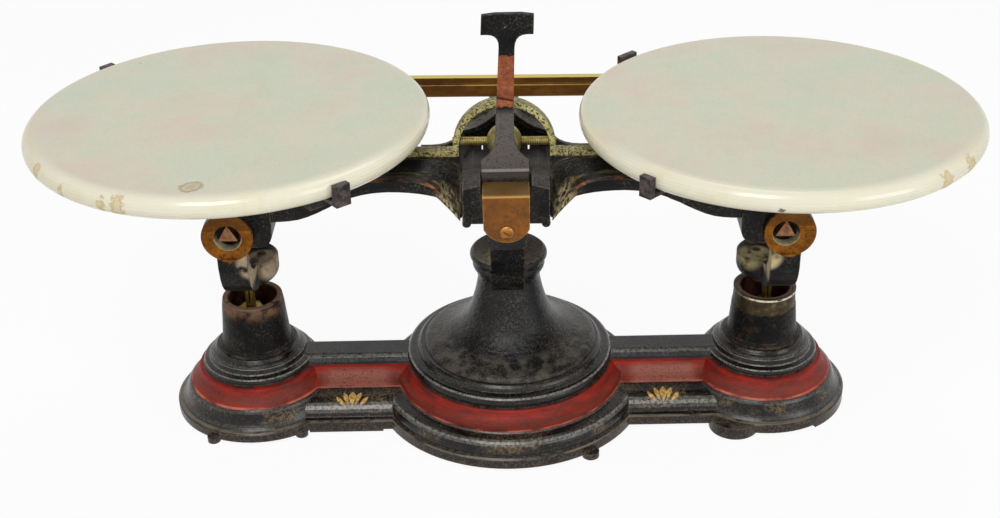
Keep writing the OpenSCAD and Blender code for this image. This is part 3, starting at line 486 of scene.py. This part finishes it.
def index_finish():
    """Flat black head, brick red stem with a dark crack, a rough dark grey lower stem, and a
    painted highlight along the bend.
    """
    s = black_iron(
        "index_paint", gloss=0.5, dust=0.4, wear=0.45, rust=0.15, lift=1.2, grain=1.6, shift=6.0
    )
    ragged = s.noise(0.0022, 4.0, 0.65, shift=2.0)
    fine = s.noise(0.0009, 3.0, shift=1.0)
    under_red = s.fade(s.z, RED_STEM_Z[0], RED_STEM_Z[0] - 0.004)
    lower = s.times(under_red, s.fade(s.z, BEND_Z - 0.0005, BEND_Z + 0.0005))
    s.cover(s.times(lower, s.fade(fine, 0.15, 0.55), 0.85), (106, 99, 94), 0.7)
    s.cover(s.times(lower, s.fade(ragged, 0.62, 0.7), 0.4), (132, 112, 92), 0.7)
    stem = s.band(s.shaken(s.z, ragged, 0.0035), *RED_STEM_Z, 0.0003)
    red = s.tones(ragged, (0.3, (112, 58, 38)), (0.55, (148, 84, 56)), (0.75, (172, 112, 84)))
    kept = s.minus(1.0, s.times(s.fade(fine, 0.62, 0.7), 0.8))
    s.cover(s.times(stem, kept), red, 0.66)
    crack = s.band(s.math("ADD", s.z, s.times(s.x, 0.22)), *CRACK_Z, 0.0002)
    s.cover(s.times(crack, 0.85), (34, 24, 22), 0.8)
    # Painted highlight: a pale line along the bend, with a lighter grey glow just below it
    crease = s.band(s.z, BEND_Z - 0.0007, BEND_Z + 0.0005, 0.0003)
    s.cover(s.times(crease, s.fade(fine, 0.15, 0.4), 0.85), (164, 160, 152), 0.4)
    foot = s.band(s.z, BEND_Z - 0.0035, BEND_Z - 0.0007, 0.001)
    s.cover(s.times(foot, 0.4), (112, 106, 98), 0.5)
    speck = s.fade(s.distance(*SPECK), 0.0004, 0.0002)
    s.cover(s.times(speck, 0.7), (136, 128, 110), 0.5)
    return s.done(specular=0.12)


def gilt_layers(s, shift):
    """Tarnished gold bronze paint: its colour, and the share of it that has rubbed off."""
    broad = s.noise(0.005, 4.0, 0.6, shift=shift)
    fine = s.noise(0.0011, 4.0, 0.6, shift=shift + 2)
    gold = s.tones(broad, (0.3, (104, 58, 4)), (0.52, (150, 88, 4)), (0.75, (186, 116, 10)))
    gold = s.mix(s.times(s.fade(fine, 0.52, 0.66), 0.75), gold, (62, 40, 14))
    return gold, s.fade(fine, 0.7, 0.78)


def cover_finish():
    """Brown gold face of the bearing covers, olive on top, bright along the edges, with a painted
    highlight line round its upper edge.
    """
    s = Surface("cover_gilt")
    gold, rubbed = gilt_layers(s, 1.0)
    s.start(gold, 0.46)
    s.cover(0.6, (98, 54, 8))
    s.cover(s.times(rubbed, 0.7), (44, 36, 26), 0.7)
    s.cover(s.times(s.fade(s.up, 0.4, 0.8), 0.75), (92, 74, 40), 0.6)
    # Painted highlight: a thin bright line round the cover at its upper edge
    s.cover(s.times(s.band(s.z, *COVER_HIGHLIGHT_Z, 0.0003), 0.6), (220, 164, 84), 0.35)
    worn = s.times(s.edge(0.0008), s.fade(s.noise(0.003, 4.0), 0.3, 0.55))
    s.cover(s.times(worn, 0.75), (216, 160, 66), 0.36)
    s.cover(s.times(s.recess(0.003), 0.6), (58, 40, 18), 0.8)
    s.soften(0.0005)
    s.bump(s.noise(0.0016, 4.0), 0.00012)
    return s.done(specular=0.3)


def hanger_finish(name, ear, tip, worn_dark, worn_light):
    """Black hanger with a gold disc on its front ear, whose point ends tip below the middle.

    The curved arms have bare patches between the two worn colours.
    """
    ear_x, ear_z = ear
    s = black_iron(name, gloss=0.36, dust=0.55, wear=0.6, rust=0.3, shift=ear_x * 20)
    patch = s.noise(0.006, 4.0, 0.6, shift=ear_x * 30)
    lobe = s.fade(s.distance(ear_x * LOBE[0], *LOBE[1:]), *LOBE_R)
    arm = s.fade(s.distance(ear_x * ARM_PATCH[0], *ARM_PATCH[1:]), *ARM_PATCH_R)
    bare = s.times(s.math("MAXIMUM", lobe, arm), s.fade(patch, 0.32, 0.5))
    bare_iron = s.tones(patch, (0.35, worn_dark), (0.65, worn_light))
    s.cover(s.times(bare, 0.9), bare_iron, 0.6)
    # Painted shade: a dark spot for the shadowed hole in the round table's top
    eyelet_shade = s.fade(s.distance(ear_x * EYELET[0], *EYELET[1:]), *EYELET_R)
    s.cover(s.times(eyelet_shade, 0.85), (22, 18, 18), 0.7)
    # Painted shade: the inner sides of the curved arms are made near black, except a band higher up
    # that shows bare iron
    sideways = s.fade(s.math("ABSOLUTE", s.face_x), 0.75, 0.92)
    cheek = s.times(sideways, s.band(s.y, *CHEEK_Y, 0.0008))
    s.cover(s.times(cheek, 0.8), (10, 9, 10), 0.7)
    upper = s.times(s.band(s.z, *CHEEK_Z, 0.0016), s.fade(patch, 0.3, 0.45))
    s.cover(s.times(cheek, upper, 0.9), bare_iron, 0.6)

    gold, rubbed = gilt_layers(s, ear_x * 10)
    disc = s.below(s.distance(ear_x, None, ear_z), EAR_R)
    wide = s.times(s.minus(s.z, ear_z - tip), 0.9)
    out = s.minus(s.math("ABSOLUTE", s.minus(s.x, ear_x)), wide)
    point = s.times(s.below(out, 0.0), s.fade(s.z, ear_z - 0.006, ear_z - 0.007))
    front = s.times(s.fade(s.y, *EAR_Y), s.math("MAXIMUM", disc, point))
    s.cover(front, gold, 0.44)
    s.cover(s.times(front, rubbed, 0.6), (60, 46, 28), 0.7)
    # Painted shadow of the plate: the upper part of the gold disc is darker brown
    brown = s.fade(s.z, ear_z + 0.0028, ear_z + 0.0032)
    s.cover(s.times(front, brown, 0.7), (92, 56, 14), 0.55)
    ring = s.below(s.distance(math.copysign(KNIFE_X, ear_x), None, ear_z), EYE_R)
    eye = s.times(ring, s.fade(s.z, ear_z + 0.0005, ear_z - 0.001), s.fade(s.y, *EYE_Y))
    s.cover(eye, s.tones(patch, (0.35, (168, 162, 128)), (0.6, (214, 208, 172))), 0.6)
    return s.done(specular=0.14)


def beam_finish():
    """Black beam with a rubbed hub, a worn copper bead kept to its upward side as a painted
    highlight, and dry yellow streaks in the cove of each arm.
    """
    s = black_iron("beam_iron", gloss=0.34, dust=0.5, wear=0.9, rust=0.2, shift=8.0)
    streak = s.noise(0.0028, 4.0, 0.6, stretch=(0.25, 1.2, 1.2), shift=3.0)
    fine = s.noise(0.001, 3.0, shift=2.0)
    arm = s.times(s.fade(s.side, *ARM_START_X), s.fade(s.side, *ARM_END_X))
    # Partly worn copper, partly painted highlight: the copper on the bead is kept to its
    # upward-facing side
    bead = s.times(arm, s.fade(s.y, *ARM_BEAD_Y), s.fade(streak, 0.4, 0.6))
    strength = s.mix_value(s.fade(s.side, *RUBBED_LESS_X), 0.9, 0.5)
    rubbed = s.times(bead, s.fade(s.x, *RUBBED_END_X), strength, s.fade(s.up, 0.1, 0.45))
    s.cover(rubbed, s.tones(fine, (0.35, (112, 60, 30)), (0.7, (188, 124, 76))), 0.42)
    cove = s.times(arm, s.band(s.y, *ARM_COVE_Y, 0.001), s.fade(streak, 0.52, 0.64))
    s.cover(s.times(cove, 0.6), (128, 110, 70), 0.6)
    brushed = s.fade(s.noise(0.0011, 4.0, 0.65, stretch=(1.0, 0.5, 0.35), shift=6.0), 0.42, 0.58)
    by_hub = s.times(s.fade(s.side, *DIRT_X), s.fade(s.side, *HUB_SIDE_X))
    low = s.times(s.fade(s.y, *DIRT_Y), s.fade(s.z, *DIRT_Z))
    s.cover(s.times(by_hub, low, brushed, 0.85), (190, 172, 130), 0.6)
    hub = s.times(s.fade(s.side, *HUB_X), s.fade(s.up, 0.15, 0.5))
    s.cover(s.times(hub, s.fade(fine, 0.2, 0.6), 0.4), (96, 94, 90), 0.6)
    return s.done(specular=0.16)


def dusty_iron(name, dust=0.8, shift=0.0):
    """Black iron whose upward faces are grey with dust."""
    s = black_iron(name, gloss=0.4, dust=dust, wear=0.8, rust=0.2, shift=shift)
    fine = s.fade(s.noise(0.0018, 4.0, 0.6, shift=shift + 2), 0.25, 0.62)
    s.cover(s.times(s.fade(s.up, 0.25, 0.75), fine, 0.8), (112, 108, 100), 0.75)
    return s.done(specular=0.2)


def spider_finish():
    """Dark iron arms under the plates, with purplish brown prongs."""
    s = black_iron("spider_iron", gloss=0.42, dust=0.5, wear=0.7, rust=0.35, shift=12.0)
    patch = s.noise(0.003, 4.0, 0.6, shift=1.0)
    prong = s.times(s.fade(s.z, *PRONG_Z), s.fade(patch, 0.3, 0.6))
    s.cover(s.times(prong, 0.8), s.tones(patch, (0.35, (50, 42, 44)), (0.7, (104, 88, 86))), 0.5)
    return s.done(specular=0.26)


def strap_finish():
    """Yellow gold bronze on the arch, speckled black, olive on top."""
    s = Surface("strap_gilt")
    broad = s.noise(0.004, 4.0, 0.6)
    fine = s.noise(0.0009, 4.0, 0.65, shift=2.0)
    yellow = ((0.3, (160, 146, 80)), (0.5, (198, 184, 112)), (0.7, (224, 214, 156)))
    s.start(s.tones(broad, *yellow), 0.4)
    s.cover(s.times(s.fade(s.face_y, -0.4, 0.1), 0.62), (88, 82, 36), 0.6)
    s.cover(s.times(s.fade(fine, 0.49, 0.57), 0.94), (28, 26, 18), 0.7)
    s.cover(s.times(s.edge(0.0006), s.fade(broad, 0.35, 0.6), 0.5), (214, 206, 140), 0.35)
    s.soften(0.0004)
    s.bump(fine, 0.00015)
    return s.done()


def brass_finish(name, dark, middle, light, rough, thread=None, lip=None):
    """Tarnished brass, with a thread of that pitch, or a painted highlight along the front of the
    lip at that height.
    """
    s = Surface(name)
    broad = s.noise(0.004, 4.0, 0.6)
    fine = s.noise(0.001, 4.0, 0.6, stretch=(0.3, 1, 1))
    s.metal = 0.75
    brass = s.tones(broad, (0.3, dark), (0.52, middle), (0.75, light))
    s.start(brass, s.mix_value(fine, rough - 0.1, rough + 0.16))
    s.cover(s.times(s.fade(fine, 0.58, 0.72), 0.55), (52, 42, 22), 0.7)
    s.cover(s.times(s.recess(0.002), 0.5), (40, 32, 18), 0.8)
    s.cover(s.times(s.edge(0.0005), 0.6), light, 0.3)
    s.soften(0.0003)
    s.bump(fine, 0.00008)
    if thread is not None:
        wave = s.math("SINE", s.times(s.x, 2 * math.pi / thread))
        s.cover(s.times(s.fade(wave, 0.0, -0.9), 0.35), (110, 96, 48), 0.6)
        s.bump(wave, 0.00008)
    if lip is not None:
        # Painted highlight: a pale line along the front of the lip, broken up by noise
        line = s.band(s.z, lip - 0.0012, lip - 0.0003, 0.0003)
        bright = s.times(line, s.fade(s.y, -0.004, -0.007), s.fade(broad, 0.35, 0.5))
        s.cover(bright, (232, 220, 196), 0.25)
    return s.done()


def bar_finish():
    """Dark brown brass bar with faint marks, bright along its edges, with painted light on its top.
    """
    s = Surface("bar_brass")
    broad = s.noise(0.012, 4.0, 0.6, stretch=(0.4, 1, 1))
    fine = s.noise(0.0014, 4.0, 0.6, stretch=(0.3, 1, 1))
    s.metal = 0.55
    brass = s.tones(broad, (0.3, (84, 48, 10)), (0.52, (112, 68, 16)), (0.75, (148, 98, 28)))
    s.start(brass, s.mix_value(fine, 0.36, 0.6))
    s.cover(s.times(s.fade(fine, 0.55, 0.72), 0.5), (62, 44, 20), 0.7)
    cell = s.math("FRACT", s.math("DIVIDE", s.x, BAR_MARK_STEP))
    mark = s.fade(s.math("ABSOLUTE", s.minus(cell, 0.5)), 0.045, 0.03)
    face = s.times(s.band(s.z, *BAR_MARK_Z, 0.0002), s.fade(s.face_y, -0.7, -0.9))
    s.cover(s.times(mark, face, 0.16), (56, 40, 18), 0.7)
    # Painted light: the bar's upward faces are light yellow brass
    s.cover(s.times(s.fade(s.up, 0.6, 0.9), 0.85), (206, 186, 88), 0.34)
    s.cover(s.times(s.edge(0.0008), s.fade(broad, 0.3, 0.55), 0.7), (206, 174, 86), 0.32)
    s.soften(0.0003)
    s.bump(fine, 0.0001)
    return s.done()


def steel_finish(name, dark, light, rust, shift=0.0):
    """Oiled or rusty steel."""
    s = Surface(name)
    broad = s.noise(0.004, 4.0, 0.6, shift=shift)
    fine = s.noise(0.0009, 4.0, 0.6, shift=shift)
    s.metal = 0.6
    s.start(s.tones(broad, (0.3, dark), (0.72, light)), s.mix_value(fine, 0.3, 0.6))
    s.cover(s.times(s.fade(fine, 0.5, 0.66), rust), (112, 66, 40), 0.8)
    s.cover(s.times(s.recess(0.002), 0.6), (36, 30, 26), 0.8)
    s.cover(s.times(s.edge(0.0004), 0.5), light, 0.32)
    s.soften(0.0002)
    s.bump(fine, 0.00008)
    return s.done()


def plate_finish(name, centre, stains, chips):
    """White glaze: faint clouds, a creamy rim with painted light on its edge and front, specks,
    brown stains and chips on the edge.
    """
    s = Surface(name)
    cloud = s.noise(0.034, 4.0, 0.6, shift=centre * 9)
    soft = s.noise(0.011, 3.0, 0.55, shift=centre * 5)
    white = ((0.34, (194, 201, 178)), (0.5, (204, 200, 178)), (0.66, (207, 192, 174)))
    s.start(s.tones(cloud, *white), 0.34)
    s.cover(s.times(s.fade(soft, 0.48, 0.7), 0.5), (192, 199, 176))
    grain = s.noise(0.0012, 3.0, 0.6, shift=5.0)
    s.cover(s.times(s.fade(grain, 0.45, 0.65), 0.16), (176, 170, 146))
    streak = s.noise(0.02, 5.0, 0.7, stretch=(1.0, 0.35, 1.0), shift=3.0)
    s.cover(s.times(s.fade(streak, 0.56, 0.74), 0.5), (200, 184, 140), 0.36)
    off = s.distance(centre, 0.0)
    front = s.fade(s.y, *RIM_FRONT_Y)
    # Painted light: the rim is lighter all round its edge, and more so on its front half
    s.cover(s.times(s.fade(off, *RIM_FRONT_R), front, 0.8), (232, 226, 202), 0.2)
    s.cover(s.times(s.fade(off, *RIM_EDGE_R), 0.75), (234, 228, 204), 0.14)
    creamy = s.times(s.fade(off, *RIM_CREAM_R), s.fade(streak, 0.42, 0.62))
    s.cover(s.times(creamy, 0.4), (222, 206, 156), 0.2)
    s.cover(s.times(s.specks(0.009, 0.0003, 0.35, shift=1.0), 0.6), (120, 104, 80), 0.4)
    s.cover(s.times(s.specks(0.021, 0.0006, 0.5, shift=2.0), 0.75), (100, 90, 72), 0.4)
    ragged = s.noise(0.005, 4.0, 0.65, shift=4.0)
    for x, y, radius, strength in stains:
        spread = s.shaken(s.distance(x, y), ragged, radius * 1.4)
        ring = s.band(spread, radius * 0.62, radius * 0.95, radius * 0.16)
        ring = s.times(ring, 0.9 if strength > 0.5 else 0.3)
        blot = s.math("MAXIMUM", s.times(s.fade(spread, radius, radius * 0.2), 0.6), ring)
        s.cover(s.times(blot, strength), (158, 132, 88), 0.4)
    torn = s.noise(0.0022, 4.0, 0.7, shift=6.0)
    for x, y, radius in chips:
        spread = s.shaken(s.distance(x, y), torn, radius * 2.6)
        s.cover(s.times(s.fade(spread, radius, radius * 0.7), 0.8), (196, 172, 122), 0.8)
        s.cover(s.times(s.fade(spread, radius * 0.7, radius * 0.3), 0.8), (222, 208, 172), 0.9)
    spot = s.shaken(s.distance(*EDGE_SPOT), grain, 0.003)
    s.cover(s.times(s.fade(spot, 0.0014, 0.0009), 0.9), (88, 72, 46), 0.6)
    s.bump(s.noise(0.008, 3.0, shift=2.0), 0.00006)
    return s.done(specular=0.4, coat=0.1)


def petal_finish():
    """Worn gold leaf paint, orange at its thickest."""
    s = Surface("petal_gilt")
    fine = s.noise(0.0012, 4.0, 0.65)
    gold = ((0.3, (116, 84, 34)), (0.5, (192, 148, 66)), (0.72, (226, 204, 142)))
    s.start(s.tones(fine, *gold), 0.45)
    thick = s.fade(s.noise(0.0022, 3.0, shift=2.0), 0.55, 0.7)
    s.cover(s.times(thick, 0.6), (188, 112, 30), 0.5)
    lost = s.fade(s.noise(0.0008, 3.0, shift=5.0), 0.6, 0.68)
    s.cover(s.times(lost, 0.7), (70, 58, 44), 0.7)
    s.bump(fine, 0.00006)
    return s.done()


def paint(material, *names):
    """Gives CAD nodes a material in place of their plain one."""
    for name in names:
        mesh = nodes[name].data
        mesh.materials.clear()
        mesh.materials.append(material)


def paint_nodes():
    """Gives every CAD node its finish."""
    paint(base_finish(), "base_casting")
    paint(post_finish(), "left_post", "right_post")
    paint(pedestal_finish(), "pedestal")
    paint(index_finish(), "index_post")
    paint(cover_finish(), "front_cover", "rear_cover")
    left_worn = ((152, 128, 106), (212, 190, 158))
    right_worn = ((172, 154, 110), (228, 210, 160))
    paint(hanger_finish("left_hanger_iron", LEFT_EAR, LEFT_TIP, *left_worn), "left_hanger")
    paint(hanger_finish("right_hanger_iron", RIGHT_EAR, EAR_R, *right_worn), "right_hanger")
    paint(beam_finish(), "beam_casting")
    bracket_iron = dusty_iron("bracket_iron", shift=4.0)
    paint(bracket_iron, "bar_bracket", "bar_end_brackets", "rear_cap")
    small_iron = dusty_iron("small_iron", dust=0.5, shift=7.0)
    paint(small_iron, "check_bracket", "bearing_blocks", "pointer")
    paint(spider_finish(), "left_spider", "right_spider")
    paint(strap_finish(), "arch_strap")
    nut = ((112, 102, 56), (156, 144, 86), (196, 184, 126), 0.42)
    paint(brass_finish("nut_brass", *nut), "adjusting_nut", "poise_screw")
    rod = ((132, 116, 62), (164, 150, 90), (206, 194, 136), 0.34)
    paint(brass_finish("rod_brass", *rod, thread=ROD_PITCH), "adjusting_rod")
    collar = ((44, 36, 24), (66, 54, 34), (108, 94, 66), 0.45)
    collar_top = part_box("post_collar")[1][2]
    paint(brass_finish("collar_brass", *collar, lip=collar_top), "post_collar")
    poise = ((98, 78, 32), (142, 114, 52), (196, 168, 92), 0.38)
    paint(brass_finish("poise_brass", *poise), "poise")
    stem = brass_finish("stem_brass", (120, 92, 34), (176, 142, 60), (226, 200, 120), 0.34)
    paint(stem, "left_stem", "right_stem", "left_locknut", "right_locknut")
    screw = ((112, 66, 20), (160, 102, 46), (206, 152, 88), 0.36)
    paint(brass_finish("screw_brass", *screw), "cover_screws")
    paint(bar_finish(), "graduated_bar")
    oiled = steel_finish("oiled_steel", (58, 54, 50), (140, 134, 126), 0.35)
    paint(oiled, "center_knife", "check_rod", "check_pin", "left_stem_pin", "right_stem_pin")
    knife = steel_finish("knife_steel", (96, 58, 34), (176, 128, 88), 0.5, 2.0)
    paint(knife, "left_knife", "right_knife")
    held = ("pedestal", "check_bracket", "strap", "bracket", "bar", "left_spider", "right_spider")
    dark_screw = steel_finish("screw_steel", (46, 42, 38), (118, 110, 100), 0.3, 5.0)
    paint(dark_screw, *(name + "_screws" for name in held))
    paint(plate_finish("left_glaze", -KNIFE_X, LEFT_STAINS, LEFT_CHIPS), "left_plate")
    paint(plate_finish("right_glaze", KNIFE_X, RIGHT_STAINS, RIGHT_CHIPS), "right_plate")


def on_bridge(height, lift):
    """Point of the bridge's outline at that length from its lower end, raised by lift."""
    rest = height
    for a, b in zip(BRIDGE, BRIDGE[1:]):
        step = math.dist(a, b)
        if rest <= step or b == BRIDGE[-1]:
            break
        rest -= step
    back, rise = b[0] - a[0], b[1] - a[1]
    y = a[0] + back * rest / step - rise / step * lift
    z = a[1] + rise * rest / step + back / step * lift
    return y, z


def petal(mesh, start, end, half, centre_x, centre_up):
    """One pointed petal, thickest along its middle."""
    along = Vector((end[0] - start[0], end[1] - start[1]))
    across = Vector((-along.y, along.x)).normalized()
    grid = []
    for i in range(PETAL_ROWS + 1):
        t = i / PETAL_ROWS
        width = half * math.sin(math.pi * (0.04 + t * 0.93) ** 1.3)
        crown = PETAL_CROWN * math.sin(math.pi * max(0.05, min(0.95, t)))
        line = []
        for j in range(PETAL_COLUMNS + 1):
            w = j / PETAL_COLUMNS * 2 - 1
            u = start[0] + along.x * t + across.x * w * width
            v = start[1] + along.y * t + across.y * w * width
            y, z = on_bridge(centre_up + v, PETAL_LIFT + crown * (1 - w * w))
            line.append(mesh.verts.new(((centre_x + u) / 1000, y / 1000, z / 1000)))
        grid.append(line)
    for low, high in zip(grid, grid[1:]):
        for j in range(PETAL_COLUMNS):
            mesh.faces.new((low[j], low[j + 1], high[j + 1], high[j]))


def ornament(name, centre_x, centre_up, material):
    """Five painted petals that lie on the bridge's front, placed in mm."""
    mesh = bmesh.new()
    for start, end, half in PETALS:
        petal(mesh, start, end, half, centre_x, centre_up)
    bmesh.ops.recalc_face_normals(mesh, faces=mesh.faces)
    data = bpy.data.meshes.new(name)
    mesh.to_mesh(data)
    mesh.free()
    data.materials.append(material)
    data.shade_smooth()
    piece = bpy.data.objects.new(name, data)
    bpy.context.scene.collection.objects.link(piece)
    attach(piece, "base")


def empty_tree(owner):
    """The node tree of a material or world, without its default nodes."""
    owner.use_nodes = True
    owner.node_tree.nodes.clear()
    return owner.node_tree


def seen_white(tree):
    """1 for rays from the camera and for those that gloss or glass sends on, else 0."""
    path = tree.nodes.new("ShaderNodeLightPath")
    seen = path.outputs["Is Camera Ray"]
    for kind in ("Is Glossy Ray", "Is Transmission Ray"):
        either = tree.nodes.new("ShaderNodeMath")
        either.operation = "MAXIMUM"
        tree.links.new(seen, either.inputs[0])
        tree.links.new(path.outputs[kind], either.inputs[1])
        seen = either.outputs[0]
    return seen


def join(tree, share, plain, white, output):
    """Shows the white shader for that share of each ray, and the plain one for the rest."""
    both = tree.nodes.new("ShaderNodeMixShader")
    tree.links.new(share, both.inputs[0])
    tree.links.new(plain.outputs[0], both.inputs[1])
    tree.links.new(white.outputs[0], both.inputs[2])
    tree.links.new(both.outputs[0], tree.nodes.new(output).inputs["Surface"])


def floor_piece():
    """A wide round floor that shows white to the camera and keeps a light shadow."""
    mesh = bmesh.new()
    bmesh.ops.create_circle(mesh, cap_ends=True, radius=FLOOR_R, segments=96)
    data = bpy.data.meshes.new("floor")
    mesh.to_mesh(data)
    mesh.free()
    material = bpy.data.materials.new("floor_white")
    tree = empty_tree(material)
    diffuse = tree.nodes.new("ShaderNodeBsdfDiffuse")
    diffuse.inputs["Color"].default_value = (0.93, 0.93, 0.92, 1.0)
    glow = tree.nodes.new("ShaderNodeEmission")
    glow.inputs["Strength"].default_value = 1.0
    share = tree.nodes.new("ShaderNodeMath")
    share.operation = "MULTIPLY"
    share.inputs[1].default_value = FLOOR_WHITE
    tree.links.new(seen_white(tree), share.inputs[0])
    join(tree, share.outputs[0], diffuse, glow, "ShaderNodeOutputMaterial")
    data.materials.append(material)
    floor = bpy.data.objects.new("floor", data)
    floor.location = (0, 0, -FLOOR_DROP)
    bpy.context.scene.collection.objects.link(floor)


def studio():
    """An even white room and three large soft lamps."""
    scene = bpy.context.scene
    scene.world = bpy.data.worlds.new("room")
    tree = empty_tree(scene.world)
    light = tree.nodes.new("ShaderNodeBackground")
    light.inputs["Color"].default_value = (0.95, 0.97, 1.0, 1.0)
    light.inputs["Strength"].default_value = ROOM_LIGHT
    white = tree.nodes.new("ShaderNodeBackground")
    white.inputs["Color"].default_value = (1.0, 1.0, 1.0, 1.0)
    white.inputs["Strength"].default_value = 1.0
    join(tree, seen_white(tree), light, white, "ShaderNodeOutputWorld")
    for name, place, size, power in LAMPS:
        data = bpy.data.lights.new(name, "AREA")
        data.shape = "DISK"
        data.size = size
        data.energy = power
        lamp = bpy.data.objects.new(name, data)
        lamp.location = place
        aim = Vector(LAMP_TARGET) - Vector(place)
        lamp.rotation_euler = aim.to_track_quat("-Z", "Y").to_euler()
        scene.collection.objects.link(lamp)
    scene.view_settings.view_transform = "Standard"


def camera():
    """The photograph's own viewpoint."""
    yaw, pitch, roll = (math.radians(a) for a in CAMERA_TURN)
    level = Vector((math.sin(yaw), math.cos(yaw), 0.0))
    ahead = level * math.cos(pitch) - Vector((0.0, 0.0, math.sin(pitch)))
    right = Vector((math.cos(yaw), -math.sin(yaw), 0.0))
    up = right.cross(ahead)
    x = right * math.cos(roll) + up * math.sin(roll)
    y = up * math.cos(roll) - right * math.sin(roll)
    turn = Matrix((x, y, -ahead)).transposed()
    data = bpy.data.cameras.new("camera")
    data.sensor_fit = "HORIZONTAL"
    data.sensor_width = 36.0
    data.lens = FOCAL_PX / FRAME_PX * data.sensor_width
    data.clip_start = 0.01
    view = bpy.data.objects.new("camera", data)
    view.matrix_world = Matrix.Translation(CAMERA_PLACE) @ turn.to_4x4()
    bpy.context.scene.collection.objects.link(view)
    bpy.context.scene.camera = view


paint_nodes()
petal_gilt = petal_finish()
ornament("left_ornament", -64.6, 7.9, petal_gilt)
ornament("right_ornament", 62.4, 7.6, petal_gilt)
floor_piece()
studio()
camera()
